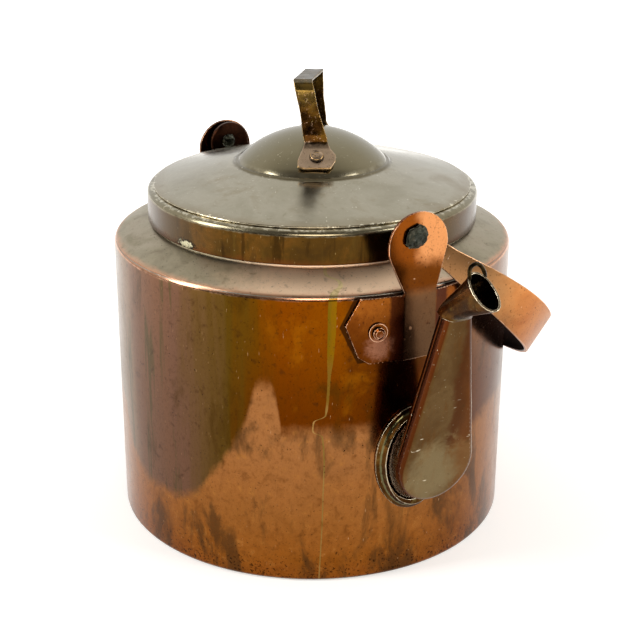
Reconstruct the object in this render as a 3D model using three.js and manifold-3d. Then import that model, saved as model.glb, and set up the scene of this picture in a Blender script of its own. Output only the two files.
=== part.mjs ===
// A copper tea kettle with a lift-off lid, a folding bail and a flat-faced spout, in millimetres.
// The origin is the centre of the underside, +Z is up, the spout points along +X, and the bail
// lies folded down towards +Y, as the kettle stands when the bail has been let go.

import * as THREE from "three";
import { mergeVertices } from "three/addons/utils/BufferGeometryUtils.js";
import Module from "manifold-3d";

const wasm = await Module();
wasm.setup();

const degrees = Math.PI / 180;

// Clearance between pieces that touch, and the flats around each turned piece
const gap = 0.3;
const facets = 48;

// Body: one rolled and brazed sheet, drawn in to a shoulder, with a neck ring brazed into it
const bodyRadius = 125;
const bodySheet = 1.5;
const wallHeight = 179;
const shoulderRound = 4.5;
const shoulderSlope = 22 * degrees;
const neckRim = 0.7;
const neckFlange = 6;
const footRound = 3;
const footFlange = 5.8;

// Bottom: a pressed pan whose joggled rim lies on the folded foot of the wall
const panSheet = 1.5;
const panStep = 2;

// Lid: a crown with a raised dome, lying on the flange of a separate skirt
const lidRadius = 103.4;
const lidSheet = 1.5;
const lidPlay = 0.8;
const skirtHeight = 20.3;
const skirtGap = 2.3;
const rimRound = 3.6;
const skirtFlange = 9.5;
const crownSheet = 1.2;
const crownSetback = 0.8;
const crownSlope = 13.7 * degrees;
const domeRadius = 47.5;
const domeHeight = 20.8;
const ridgeHeight = 0.9;
const ridgeWidth = 2.4;

// Lid handle: a bent strap, riveted to the dome through a flared foot at each end
const strapWidth = 12;
const strapThickness = 2.2;
const handleTurn = -28 * degrees;
const handleOffset = 2.1;
const handleTop = 281.5;
const handleHalfSpan = 21.5;
const handleCorner = 5;
const footDistance = 36.5;
const footOut = 9;
const footIn = 11;
const footWidth = 23.2;
const footSkew = 0.19;
const legFoot = 14.6;
const frontLean = 8.2;
const rearLean = 1.1;
const handleRivetHead = 4.8;

// Ears: a pointed plate bent round the wall, with a flat neck and a round head for the bail,
// all hung from the height of the bail's pivots
const pivotHeight = 213;
const pivotShift = -1.6;
const earSheet = 2.2;
const earTop = pivotHeight - 32;
const earDepth = 40;
const earBottom = earTop - earDepth;
const earHalf = 45;
const earShoulder = 36;
const earTipHeight = earTop - earDepth * 0.4;
const earFlatHalf = 10.6;
const earHeadRadius = 19.5;
const frontEarHead = [-2.4, pivotHeight - 3.8];
const rearEarHead = [-1, pivotHeight - 6];
const earStandoff = 0.55;

// Rivets, and the loose washers under the heads of those in the ear plates
const rivetRadius = 1.6;
const rivetHead = 4.1;
const rivetHeadHeight = 2.2;
const earRivetArc = 25.5;
const earRivetHeight = earBottom + earDepth * 0.485;
const washerRadius = 6;
const washerThickness = 0.9;
const pivotRadius = 4;
const pivotHeadRadius = 7.8;
const pivotHeadHeight = 3.4;
const pivotHeadShift = [-3.2, 1.6];
const pivotTail = 5.5;
const pivotTailHeight = 2.4;

// Bail: one flat strap, with a round eye at each end and a bow that reaches round the wall
const bailThickness = 2.5;
const bailEyeRadius = 13.8;
const bailEyeShift = 1.8;
const bailSlack = 3;
const bailNeck = 13.5;
const bailWidth = 27;
const bailWidens = 28;
const bailFull = 110;
const bailBend = 16;
const bailBow = 9.7;
const bailWidest = 74;
const bailFold = 39.5 * degrees;
const bailArch = 2.4;
const bailRest = 0.4;

// Spout: a flat-faced front shell, closed by a dished back plate above its deep lower bowl
const spoutSheet = 1.4;
const spoutLean = 9.6 * degrees;
const spoutReach = 26.8;
const spoutHeight = 82.4;
const faceRadius = 24.6;
const faceTopRadius = 7.8;
const faceLength = 100;
const faceRound = 2.6;
const ductDepth = 6.4;
const backBulge = 4.8;
const backSheet = 1.2;
const backFrom = 6;
const bowlHalfWidth = 19.2;
const bowlHalfHeight = 27.8;
const bowlCentre = 77;
const bowlStandoff = 2;
const collarSpread = 6;
const collarHeight = 5.5;
const collarEdge = 1.2;
const strainerHole = 1.7;
const strainerPitch = 8;

// Nozzle: a flared oval tube slipped over the duct, with a small eye bent over its mouth
const nozzleSheet = 1.3;
const nozzleLap = 3;
const mouthReach = 63;
const mouthHeight = 201;
const mouthLength = 27;
const mouthWidth = 15.2;
const mouthTilt = 35.5 * degrees;
const eyeHalf = 4.8;
const eyeRise = 5.8;
const eyeWire = 1.3;

// Colours: worn copper, brown patina, tinned rims, brass braze and black iron
const copper = { color: 0xa0602f, roughness: 0.32, metalness: 1 };
const patina = { color: 0x8a7f68, roughness: 0.4, metalness: 1 };
const brightCopper = { color: 0xd98a4e, roughness: 0.35, metalness: 1 };
const brass = { color: 0x8c6a30, roughness: 0.38, metalness: 1 };
const iron = { color: 0x3c3d35, roughness: 0.6, metalness: 1 };

// Solids: a closed geometry becomes a solid with its faces turned outwards, and back again
function solidOf(geometry) {
  const bare = geometry.index ? geometry.toNonIndexed() : geometry.clone();
  bare.deleteAttribute("normal");
  bare.deleteAttribute("uv");
  const merged = mergeVertices(bare, 1e-4);
  const index = merged.index.array;
  const kept = [];
  for (let i = 0; i < index.length; i += 3) {
    const [a, b, c] = [index[i], index[i + 1], index[i + 2]];
    if (a !== b && b !== c && c !== a) kept.push(a, b, c);
  }
  const vertProperties = new Float32Array(merged.attributes.position.array);
  const build = (triVerts) =>
    new wasm.Manifold(new wasm.Mesh({ numProp: 3, vertProperties, triVerts: new Uint32Array(triVerts) }));
  const made = build(kept);
  return made.volume() > 0 ? made : build(kept.reverse());
}

function geometryOf(solid) {
  const mesh = solid.getMesh();
  const geometry = new THREE.BufferGeometry();
  geometry.setAttribute("position", new THREE.BufferAttribute(mesh.vertProperties, 3));
  geometry.setIndex(new THREE.BufferAttribute(mesh.triVerts, 1));
  geometry.computeVertexNormals();
  return geometry;
}

const unite = (...solids) => solids.reduce((sum, next) => sum.add(next));
const cutAway = (solid, ...tools) => tools.reduce((rest, tool) => rest.subtract(tool), solid);

// A closed profile of [radius, height] points, turned about the Z axis
function turned(profile, count = facets) {
  const points = profile.map(([radius, height]) => new THREE.Vector2(radius, height));
  const geometry = new THREE.LatheGeometry(points, count);
  geometry.rotateX(Math.PI / 2);
  return solidOf(geometry);
}

// Rings of [x, y, z] points joined in order, with a flat cap on the first and the last
function lofted(rings) {
  const count = rings[0].length;
  const indices = [];
  for (let k = 1; k < rings.length; k += 1) {
    for (let i = 0; i < count; i += 1) {
      const a = (k - 1) * count + i;
      const b = (k - 1) * count + ((i + 1) % count);
      indices.push(a, b, b + count, a, b + count, a + count);
    }
  }
  const last = (rings.length - 1) * count;
  for (let i = 2; i < count; i += 1) {
    indices.push(0, i, i - 1, last, last + i - 1, last + i);
  }
  const geometry = new THREE.BufferGeometry();
  geometry.setAttribute("position", new THREE.Float32BufferAttribute(rings.flat(2), 3));
  geometry.setIndex(indices);
  return solidOf(geometry);
}

// A flat outline of Y and Z, thickened along X from one plane to another
function slab(shape, fromX, toX, curveSegments = 8) {
  const depth = toX - fromX;
  const geometry = new THREE.ExtrudeGeometry(shape, { depth, bevelEnabled: false, curveSegments });
  const frame = new THREE.Matrix4().makeBasis(
    new THREE.Vector3(0, 1, 0),
    new THREE.Vector3(0, 0, 1),
    new THREE.Vector3(1, 0, 0),
  );
  frame.setPosition(fromX, 0, 0);
  geometry.applyMatrix4(frame);
  return solidOf(geometry);
}

// A turned profile laid along +X, at a height, then swung round the kettle's axis
function pegged(profile, height, swing = 0, count = 12) {
  const points = profile.map(([radius, x]) => new THREE.Vector2(radius, x));
  const geometry = new THREE.LatheGeometry(points, count);
  geometry.rotateZ(-Math.PI / 2);
  geometry.translate(0, 0, height);
  geometry.rotateZ(swing);
  return solidOf(geometry);
}

const rod = (radius, fromX, toX) => [
  [0, fromX],
  [radius, fromX],
  [radius, toX],
  [0, toX],
];

function arc(centreR, centreZ, radius, from, to, steps) {
  const points = [];
  for (let k = 0; k <= steps; k += 1) {
    const angle = from + ((to - from) * k) / steps;
    points.push([centreR + radius * Math.cos(angle), centreZ + radius * Math.sin(angle)]);
  }
  return points;
}

// A superellipse in (a, b): power 2 is an ellipse, and a higher power squares its corners
function oval(halfA, halfB, power, count) {
  const points = [];
  for (let k = 0; k < count; k += 1) {
    const angle = (2 * Math.PI * k) / count;
    const c = Math.cos(angle);
    const s = Math.sin(angle);
    points.push([
      halfA * Math.sign(c) * Math.abs(c) ** (2 / power),
      halfB * Math.sign(s) * Math.abs(s) ** (2 / power),
    ]);
  }
  return points;
}

// Heights that the shoulder, neck and lid share
const shoulderEndRadius = bodyRadius - shoulderRound * (1 - Math.sin(shoulderSlope));
const shoulderEndHeight = wallHeight + shoulderRound * Math.cos(shoulderSlope);
const shoulderAt = (radius) => shoulderEndHeight + (shoulderEndRadius - radius) * Math.tan(shoulderSlope);
const skirtBottom = shoulderAt(lidRadius) + skirtGap;
const rimRadius = lidRadius - rimRound;
const rimHeight = skirtBottom + skirtHeight;
const flangeAt = (radius) => rimHeight + (rimRadius - radius) * Math.tan(crownSlope);
const neckRadius = lidRadius - lidSheet - lidPlay;
const neckTop = flangeAt(neckRadius) - lidSheet / Math.cos(crownSlope) - gap;
const crownAt = (radius) => flangeAt(radius) + gap + crownSheet / Math.cos(crownSlope);
const domeBase = crownAt(domeRadius);
const domeTop = domeBase + domeHeight;
const domeSphere = (domeRadius ** 2 + domeHeight ** 2) / (2 * domeHeight);
const domeCentre = domeTop - domeSphere;

// A cylinder that stands for the wall where another piece is cut to fit round it
const wallCutter = turned(
  [
    [0, -1],
    [bodyRadius + gap, -1],
    [bodyRadius + gap, wallHeight * 2],
    [0, wallHeight * 2],
  ],
);

// Holes for the ear rivets, which pass through both plates and the wall
const earRivetSwings = [-1, 1].map((side) => (side * earRivetArc) / bodyRadius);
const holeThrough = (swing) =>
  pegged(rod(rivetRadius + gap, bodyRadius * 0.9, bodyRadius * 1.1), earRivetHeight, swing);

// Body shell: folded foot, straight wall and sloping shoulder, with small strainer holes behind
// the spout and the rivet holes
function bodyShell() {
  const inner = bodyRadius - bodySheet;
  const mouth = neckRadius + gap;
  const cornerAngle = Math.PI / 2 - shoulderSlope;
  const outerRound = arc(bodyRadius - shoulderRound, wallHeight, shoulderRound, 0, cornerAngle, 3);
  const innerRound = arc(bodyRadius - shoulderRound, wallHeight, shoulderRound - bodySheet, cornerAngle, 0, 2);
  const lift = bodySheet / Math.cos(shoulderSlope);
  const profile = [
    [bodyRadius - footFlange, 0],
    ...arc(bodyRadius - footRound, footRound, footRound, -Math.PI / 2, 0, 3),
    ...outerRound,
    [mouth, shoulderAt(mouth)],
    [mouth, shoulderAt(mouth) - lift],
    ...innerRound,
    [inner, footRound],
    [bodyRadius - footRound, bodySheet],
    [bodyRadius - footFlange, bodySheet],
  ];
  profile.push(profile[0]);
  const strainer = [-1, 0, 1].flatMap((row) => {
    const places = row === 0 ? [-1.5, -0.5, 0.5, 1.5] : [-1, 0, 1];
    return places.map((place) => {
      const swing = (place * strainerPitch * 0.8) / bodyRadius;
      const shank = rod(strainerHole, bodyRadius * 0.9, bodyRadius * 1.1);
      return pegged(shank, bowlCentre + row * strainerPitch, swing, 8);
    });
  });
  const turnedHoles = earRivetSwings.flatMap((swing) => [holeThrough(swing), holeThrough(swing + Math.PI)]);
  return cutAway(turned(profile), ...strainer, ...turnedHoles);
}

// Neck ring: an upright band that rises through the shoulder, with a flange below it
function neckRing() {
  const inner = neckRadius - bodySheet;
  const lift = bodySheet / Math.cos(shoulderSlope);
  const under = (radius) => shoulderAt(radius) - lift - gap / Math.cos(shoulderSlope);
  const end = neckRadius + neckFlange;
  const profile = [
    [inner, under(inner) - lift],
    [end, under(end) - lift],
    [end, under(end)],
    [neckRadius, under(neckRadius)],
    [neckRadius, neckTop - neckRim],
    [neckRadius - neckRim, neckTop],
    [inner, neckTop],
  ];
  profile.push(profile[0]);
  return turned(profile);
}

// Bottom pan: flat in the middle, with a raised rim that lies on the folded foot
function bottomPan() {
  const rim = bodyRadius - bodySheet - gap;
  const lift = bodySheet + gap;
  const flat = bodyRadius - footFlange - gap - panStep;
  return turned([
    [0, 0],
    [flat, 0],
    [flat + panStep, lift],
    [rim - footRound / 2, lift],
    [rim, lift + footRound / 2],
    [rim, lift + panSheet + footRound / 2],
    [rim - footRound / 2, lift + panSheet],
    [flat + panStep, lift + panSheet],
    [flat - gap, panSheet],
    [0, panSheet],
  ]);
}

// Lid skirt: an upright band with a rounded top edge and a flange that the crown lies on
function lidSkirt() {
  const inner = lidRadius - lidSheet;
  const lift = lidSheet / Math.cos(crownSlope);
  const flangeEnd = rimRadius - skirtFlange;
  const corner = rimHeight - rimRound;
  const innerRound = Math.max(rimRound - lidSheet, gap);
  const profile = [
    [inner, skirtBottom],
    [lidRadius, skirtBottom],
    ...arc(rimRadius, corner, rimRound, 0, Math.PI / 2, 3),
    [flangeEnd, flangeAt(flangeEnd)],
    [flangeEnd, flangeAt(flangeEnd) - lift],
    [inner - innerRound, flangeAt(inner - innerRound) - lift],
    [inner, flangeAt(inner - innerRound) - lift - innerRound],
  ];
  profile.push(profile[0]);
  return turned(profile);
}

// Where the handle's feet lie: the tangent to the dome at the rivet
const footAngle = Math.asin(footDistance / domeSphere);
const footSeat = {
  x: (domeSphere + gap) * Math.sin(footAngle),
  z: domeCentre + (domeSphere + gap) * Math.cos(footAngle),
};

// A turned profile standing on the dome at a foot, square to the dome
function domePeg(profile, side, count = 12) {
  const points = profile.map(([radius, height]) => new THREE.Vector2(radius, height));
  const geometry = new THREE.LatheGeometry(points, count);
  geometry.rotateX(Math.PI / 2);
  geometry.rotateY(footAngle);
  geometry.translate(footSeat.x, side * handleOffset, footSeat.z);
  geometry.rotateZ(handleTurn + (side > 0 ? 0 : Math.PI));
  return solidOf(geometry);
}

// Lid crown: a shallow cone that rises to a spun dome, with a raised ridge where they meet
function lidCrown() {
  const edge = rimRadius - crownSetback;
  const lift = crownSheet / Math.cos(crownSlope);
  const domeEnd = Math.asin((domeRadius - ridgeWidth) / domeSphere);
  const domeArc = arc(0, domeCentre, domeSphere, Math.PI / 2 - domeEnd, Math.PI / 2, 7);
  const innerEnd = Math.asin((domeRadius - ridgeWidth - crownSheet) / (domeSphere - crownSheet));
  const innerArc = arc(0, domeCentre, domeSphere - crownSheet, Math.PI / 2, Math.PI / 2 - innerEnd, 6);
  const outerDome = domeArc.slice(0, -1);
  const innerDome = innerArc.slice(1);
  const profile = [
    [0, domeTop],
    ...outerDome.reverse(),
    [domeRadius - ridgeWidth * 0.5, domeBase + ridgeHeight * 0.5],
    [domeRadius, domeBase + ridgeHeight],
    [domeRadius + ridgeWidth * 0.5, crownAt(domeRadius + ridgeWidth * 0.5)],
    [edge, crownAt(edge)],
    [edge, crownAt(edge) - lift],
    [domeRadius, domeBase - lift],
    ...innerDome.reverse(),
    [0, domeTop - crownSheet],
  ];
  const reach = strapThickness + domeSphere * 0.1;
  const holes = [1, -1].map((side) => domePeg(rod(rivetRadius + gap, -reach, reach), side));
  return cutAway(turned(profile), ...holes);
}

// Lid handle: the strap's section is carried along its path, leaning as the bent one does.
// In the plane of the handle q runs outwards from the lid's axis and w across the strap.
function lidHandle() {
  const half = strapThickness / 2;
  const along = [Math.cos(footAngle), -Math.sin(footAngle)];
  const middle = [
    footSeat.x + half * Math.sin(footAngle),
    footSeat.z + half * Math.cos(footAngle),
  ];
  const footPoint = (s) => new THREE.Vector2(middle[0] + along[0] * s, middle[1] + along[1] * s);
  const barHeight = handleTop - half;
  const bend = footPoint(-footIn);
  const topCorner = new THREE.Vector2(handleHalfSpan - half, barHeight);
  const leg = topCorner.clone().sub(bend);
  const cut = (t) => bend.clone().addScaledVector(leg, t);
  const cornerShare = handleCorner / leg.length();
  const rounding = new THREE.QuadraticBezierCurve(
    cut(1 - cornerShare),
    topCorner,
    new THREE.Vector2(topCorner.x - handleCorner, barHeight),
  );
  const footRounding = new THREE.QuadraticBezierCurve(footPoint(-footIn * 0.6), bend, cut(cornerShare));
  const outerFoot = footPoint(footOut);
  const sidePath = [
    ...[0, 0.5, 1].map((t) => rounding.getPoint(1 - t)),
    cut(0.5),
    ...[0, 0.5, 1].map((t) => footRounding.getPoint(1 - t)),
    footPoint(0),
    footPoint(footOut * 0.6),
    outerFoot,
  ];
  const widths = [1, 1, 1, 1, legFoot / strapWidth, legFoot / strapWidth, 1.45, footWidth / strapWidth];
  widths.push(footWidth / strapWidth, (footWidth * 0.72) / strapWidth);
  const rise = barHeight - bend.y;
  const leanAt = (z, lean) => -lean * THREE.MathUtils.clamp((z - bend.y) / rise, 0, 1);
  const sectionAt = (point, direction, scale, side, lean) => {
    const normal = new THREE.Vector2(-direction.y, direction.x).multiplyScalar(half);
    const w = (strapWidth / 2) * scale;
    const shift = handleOffset + leanAt(point.y, lean);
    const skew = scale > 1.5 ? footSkew * side : 0;
    const corners = [
      [1, w - 0.5],
      [0.55, w],
      [-0.55, w],
      [-1, w - 0.5],
      [-1, -w + 0.5],
      [-0.55, -w],
      [0.55, -w],
      [1, -w + 0.5],
    ];
    return corners.map(([n, across]) => [
      side * (point.x + normal.x * n - across * skew * along[0]),
      across + shift,
      point.y + normal.y * n - across * skew * along[1],
    ]);
  };
  const rings = [];
  const addSide = (side, lean, order) => {
    const path = order > 0 ? sidePath : [...sidePath].reverse();
    const scales = order > 0 ? widths : [...widths].reverse();
    path.forEach((point, k) => {
      const before = path[Math.max(k - 1, 0)];
      const after = path[Math.min(k + 1, path.length - 1)];
      const direction = after.clone().sub(before).normalize();
      if (order < 0) direction.negate();
      const ring = sectionAt(point, direction, scales[k], side, lean);
      rings.push(ring);
    });
  };
  addSide(1, frontLean, -1);
  addSide(-1, rearLean, 1);
  const strap = lofted(rings);
  const turnedStrap = strap.rotate([0, 0, handleTurn / degrees]);
  const reach = strapThickness * 4;
  const holes = [1, -1].map((side) => domePeg(rod(rivetRadius + gap, -reach, reach), side));
  return cutAway(turnedStrap, ...holes);
}

// A handle rivet: a tail inside the dome, a shank through both sheets and a head on the foot
function handleRivet(side) {
  const under = -crownSheet - gap * 3;
  const over = strapThickness + gap;
  return domePeg(
    [
      [0, under - 1.2],
      [rivetHead, under - 1.2],
      [rivetHead, under],
      [rivetRadius, under],
      [rivetRadius, over],
      [handleRivetHead, over],
      [handleRivetHead * 0.85, over + rivetHeadHeight * 0.8],
      [handleRivetHead * 0.4, over + rivetHeadHeight],
      [0, over + rivetHeadHeight],
    ],
    side,
    10,
  );
}

// Ear: a pointed plate, flat in the middle and bent round the wall on both sides, with a
// flat round head above it that stands a little off the wall
const earFace = bodyRadius + gap + earStandoff;
function ear(side, [headShift, headHeight]) {
  const bent = (radius, from, to) =>
    [0, 1, 2, 3, 4].map((k) => {
      const angle = from + ((to - from) * k) / 4;
      return [radius * Math.cos(angle), radius * Math.sin(angle)];
    });
  const end = (earHalf * 1.08) / bodyRadius;
  const start = (earFlatHalf * 1.9) / bodyRadius;
  const inner = bodyRadius / Math.cos(((end - start) * 0.5) / 4) + gap;
  const half = [
    [earFace, earFlatHalf],
    ...bent(inner, start, end),
    ...bent(inner + earSheet, end, start),
    [earFace + earSheet, earFlatHalf],
  ];
  const section = [...half, ...half.map(([x, y]) => [x, -y]).reverse()];
  const band = new THREE.Shape(section.map(([x, y]) => new THREE.Vector2(x, y)));
  const plate = new THREE.ExtrudeGeometry(band, { depth: earTop - earBottom, bevelEnabled: false });
  plate.translate(0, 0, earBottom);
  const across = (alongArc) => bodyRadius * Math.sin(alongArc / bodyRadius);
  const outline = [
    [earShoulder, earTop],
    [earHalf, earTipHeight],
    [earShoulder + 1.5, earBottom + 4.5],
    [earShoulder - 5, earBottom],
  ];
  const mirrored = outline.map(([y, z]) => [-y, z]).reverse();
  const corners = [...outline, ...mirrored].map(([y, z]) => new THREE.Vector2(across(y), z));
  const pointed = slab(new THREE.Shape(corners), bodyRadius * 0.8, bodyRadius * 1.2);
  const headAt = side * headShift;
  const tangentTo = (corner) => {
    const [y, z] = [corner - headAt, earTop - headHeight];
    return Math.atan2(z, y) + Math.sign(corner) * Math.acos(earHeadRadius / Math.hypot(y, z));
  };
  const headShape = new THREE.Shape();
  headShape.moveTo(-earFlatHalf, earTop - earSheet);
  headShape.lineTo(earFlatHalf, earTop - earSheet);
  headShape.lineTo(earFlatHalf, earTop);
  headShape.absarc(headAt, headHeight, earHeadRadius, tangentTo(earFlatHalf), tangentTo(-earFlatHalf), false);
  headShape.lineTo(-earFlatHalf, earTop);
  const head = slab(headShape, earFace, earFace + earSheet, 14);
  const shank = pegged(rod(pivotRadius + gap, earFace - earSheet, earFace + earSheet * 2), pivotHeight);
  const pivotHole = shank.translate([0, side * pivotShift, 0]);
  const rivetHoles = earRivetSwings.map((swing) => holeThrough(swing));
  return cutAway(unite(solidOf(plate).intersect(pointed), head), pivotHole, ...rivetHoles);
}

// Ear rivet and its washer, at one place on the plate, pointing out from the kettle's axis
const plateFace = bodyRadius + gap + earSheet;
const earRivet = (swing) => {
  const inside = (bodyRadius - bodySheet) * Math.cos(Math.PI / facets) - gap;
  const outside = plateFace + gap + washerThickness + gap;
  return pegged(
    [
      [0, inside - 1.2],
      [rivetHead, inside - 1.2],
      [rivetHead, inside],
      [rivetRadius, inside],
      [rivetRadius, outside],
      [rivetHead, outside],
      [rivetHead * 0.92, outside + rivetHeadHeight * 0.7],
      [rivetHead * 0.55, outside + rivetHeadHeight],
      [0, outside + rivetHeadHeight],
    ],
    earRivetHeight,
    swing,
  );
};
const earWasher = (swing) => {
  const from = plateFace + gap;
  const profile = [
    [rivetRadius + gap, from],
    [washerRadius, from],
    [washerRadius - 0.3, from + washerThickness],
    [rivetRadius + gap, from + washerThickness],
  ];
  profile.push(profile[0]);
  return pegged(profile, earRivetHeight, swing);
};

// Bail: its centre line in its own plane, with u across the kettle and d away from the pivots
const bailPlane = earFace - bailSlack - bailThickness / 2;
const bailContact = bodyRadius + bailRest - pivotShift + (bailWidth / 2) * Math.sin(bailFold);
const bailReach = bailContact / Math.cos(bailFold) + bailThickness / 2;
const bailWay = {
  d: new THREE.Vector3(0, Math.cos(bailFold), -Math.sin(bailFold)),
  w: new THREE.Vector3(0, Math.sin(bailFold), Math.cos(bailFold)),
};

function bailStrap() {
  const arm = [[bailPlane, bailEyeRadius * 0.5]];
  for (let k = 0; k < 6; k += 1) {
    const bend = Math.sin((Math.PI * k) / 12);
    arm.push([bailPlane + bailBow * bend, bailBend + ((bailWidest - bailBend) * k) / 6]);
  }
  const far = bailReach - bailWidest;
  for (let k = 0; k < 12; k += 1) {
    const angle = (Math.PI * k) / 24;
    arm.push([(bailPlane + bailBow) * Math.cos(angle), bailWidest + far * Math.sin(angle)]);
  }
  const stations = [...arm, [0, bailReach], ...arm.map(([u, d]) => [-u, d]).reverse()];
  const widthAt = (d) => {
    const share = THREE.MathUtils.clamp((d - bailWidens) / (bailFull - bailWidens), 0, 1);
    return bailNeck + (bailWidth - bailNeck) * Math.sin((share * Math.PI) / 2);
  };
  const half = bailThickness / 2;
  const rings = stations.map(([u, d], k) => {
    const [u0, d0] = stations[Math.max(k - 1, 0)];
    const [u1, d1] = stations[Math.min(k + 1, stations.length - 1)];
    const length = Math.hypot(u1 - u0, d1 - d0);
    const normal = [-(d1 - d0) / length, (u1 - u0) / length];
    const w = widthAt(d) / 2;
    const arch = bailArch * Math.sin((Math.PI * Math.max(d, 0)) / bailReach);
    const corners = [
      [half, w - 0.6],
      [half - 0.6, w],
      [0.6 - half, w],
      [-half, w - 0.6],
      [-half, 0.6 - w],
      [0.6 - half, -w],
      [half - 0.6, -w],
      [half, 0.6 - w],
    ];
    return corners.map(([n, across]) => {
      const point = new THREE.Vector3(u + normal[0] * n, pivotShift, pivotHeight);
      point.addScaledVector(bailWay.d, d + normal[1] * n);
      point.addScaledVector(bailWay.w, across + arch);
      return point.toArray();
    });
  });
  const eyeAt = bailWay.d.clone().multiplyScalar(bailEyeShift);
  const eyes = [0, Math.PI].map((swing) =>
    pegged(rod(bailEyeRadius, bailPlane - half, bailPlane + half), pivotHeight, swing, 28)
      .translate([0, pivotShift + eyeAt.y, eyeAt.z]),
  );
  const holes = [0, Math.PI].map((swing) =>
    pegged(rod(pivotRadius + gap, bailPlane - half * 3, bailPlane + half * 3), pivotHeight, swing)
      .translate([0, pivotShift, 0]),
  );
  return cutAway(unite(lofted(rings), ...eyes), ...holes);
}

// Pivot rivet: black iron, with a hammered head outside and a small tail inside the eye
function pivotRivet(side) {
  const tailEnd = bailPlane - bailThickness / 2 - gap;
  const headStart = earFace + earSheet + gap;
  const shank = pegged(
    [
      [0, tailEnd - pivotTailHeight],
      [pivotTail * 0.75, tailEnd - pivotTailHeight],
      [pivotTail, tailEnd - pivotTailHeight * 0.4],
      [pivotTail, tailEnd],
      [pivotRadius, tailEnd],
      [pivotRadius, headStart + pivotHeadHeight / 2],
      [0, headStart + pivotHeadHeight / 2],
    ],
    pivotHeight,
    0,
    14,
  );
  const hammered = (share, x) => {
    const ring = [];
    for (let k = 0; k < 14; k += 1) {
      const angle = (2 * Math.PI * k) / 14;
      const radius = pivotHeadRadius * share * (1 + 0.08 * Math.cos(2 * angle - 1.1) + 0.05 * Math.cos(5 * angle));
      const y = pivotHeadShift[0] + radius * Math.cos(angle);
      ring.push([x, y, pivotHeight + pivotHeadShift[1] + radius * Math.sin(angle)]);
    }
    return ring;
  };
  const head = lofted([
    hammered(1, headStart),
    hammered(1, headStart + pivotHeadHeight * 0.35),
    hammered(0.8, headStart + pivotHeadHeight * 0.8),
    hammered(0.4, headStart + pivotHeadHeight),
  ]);
  return unite(shank, head).translate([0, side * pivotShift, 0]);
}

// Spout frame: a is across, b runs up the flat face and c stands out of it
const faceUp = [Math.sin(spoutLean), Math.cos(spoutLean)];
const faceOut = [Math.cos(spoutLean), -Math.sin(spoutLean)];
const faceOrigin = [bodyRadius + spoutReach, spoutHeight];
const onFace = (a, b, c) => [
  faceOrigin[0] + faceUp[0] * b + faceOut[0] * c,
  a,
  faceOrigin[1] + faceUp[1] * b + faceOut[1] * c,
];

// The face outline: a large arc below, a small one above and their common tangents, inset evenly
function teardrop(inset, c, lengthen = 0) {
  const big = faceRadius - inset;
  const small = faceTopRadius - inset;
  const tangent = Math.asin((faceRadius - faceTopRadius) / faceLength);
  const points = [];
  for (let k = 0; k <= 18; k += 1) {
    const angle = Math.PI - tangent + ((Math.PI + 2 * tangent) * k) / 18;
    points.push(onFace(big * Math.cos(angle), big * Math.sin(angle), c));
  }
  const tip = (angle, extra) =>
    onFace(small * Math.cos(angle), faceLength + extra + small * Math.sin(angle) * 0.3, c);
  points.push(tip(tangent, 0));
  if (lengthen > 0) points.push(tip(tangent, lengthen));
  for (let k = 1; k < 4; k += 1) points.push(tip(tangent + ((Math.PI - 2 * tangent) * k) / 4, lengthen));
  if (lengthen > 0) points.push(tip(Math.PI - tangent, lengthen));
  points.push(tip(Math.PI - tangent, 0));
  return points;
}

function bowlRing(inset, x) {
  return oval(bowlHalfWidth - inset, bowlHalfHeight - inset, 2, 24).map(([y, z]) => [x, y, bowlCentre + z]);
}

function faceRing(inset, c) {
  return oval(faceRadius - inset, faceRadius - inset, 2, 24).map(([a, b]) => onFace(a, b, c));
}

const roundSteps = [0, 0.5, 1].map((t) => {
  const angle = (t * Math.PI) / 2;
  return [faceRound * (1 - Math.sin(angle)), -faceRound * (1 - Math.cos(angle))];
});

function ductSolid(inset, depth, top) {
  const rings = roundSteps.map(([side, c]) => teardrop(inset + side, c - inset, top));
  rings.push(teardrop(inset, -depth, top));
  return lofted(rings);
}

function bowlSolid(inset) {
  const rings = roundSteps.map(([side, c]) => faceRing(inset + side, c - inset));
  rings.push(faceRing(inset, -ductDepth));
  rings.push(bowlRing(inset, bodyRadius + bowlStandoff), bowlRing(inset, bodyRadius * 0.9));
  return lofted(rings);
}

// Front shell: the flat face, its rounded edge and the bowl's wall, open towards the kettle
function spoutFrontShell() {
  const outer = unite(ductSolid(0, ductDepth, 0), bowlSolid(0));
  const ductInside = ductSolid(spoutSheet, ductDepth + gap * 0.1, faceTopRadius * 2);
  return cutAway(outer, ductInside, bowlSolid(spoutSheet), wallCutter);
}

// Back plate: a tray whose rim meets the front shell, cut to fit round the bowl
function backTray(inset, from, top) {
  return lofted([
    teardrop(inset, -from, top),
    teardrop(inset, -ductDepth - gap - backSheet, top),
    teardrop(inset + backBulge * 0.35, -ductDepth - gap - backBulge * 0.7 - backSheet + inset, top),
    teardrop(inset + backBulge * 0.8, -ductDepth - gap - backBulge - backSheet + inset, top),
  ]);
}

function spoutBackPlate() {
  const hollow = backTray(backSheet, ductDepth - backSheet, faceTopRadius * 2);
  const below = [-ductDepth * 5, ductDepth].map((c) =>
    [[-1, -3], [1, -3], [1, backFrom], [-1, backFrom]].map(([a, b]) =>
      onFace(a * faceRadius * 2, b === backFrom ? b : b * faceRadius, c),
    ),
  );
  const tray = backTray(0, ductDepth + gap, 0);
  return cutAway(tray, hollow, bowlSolid(-gap), wallCutter, lofted(below));
}

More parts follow.
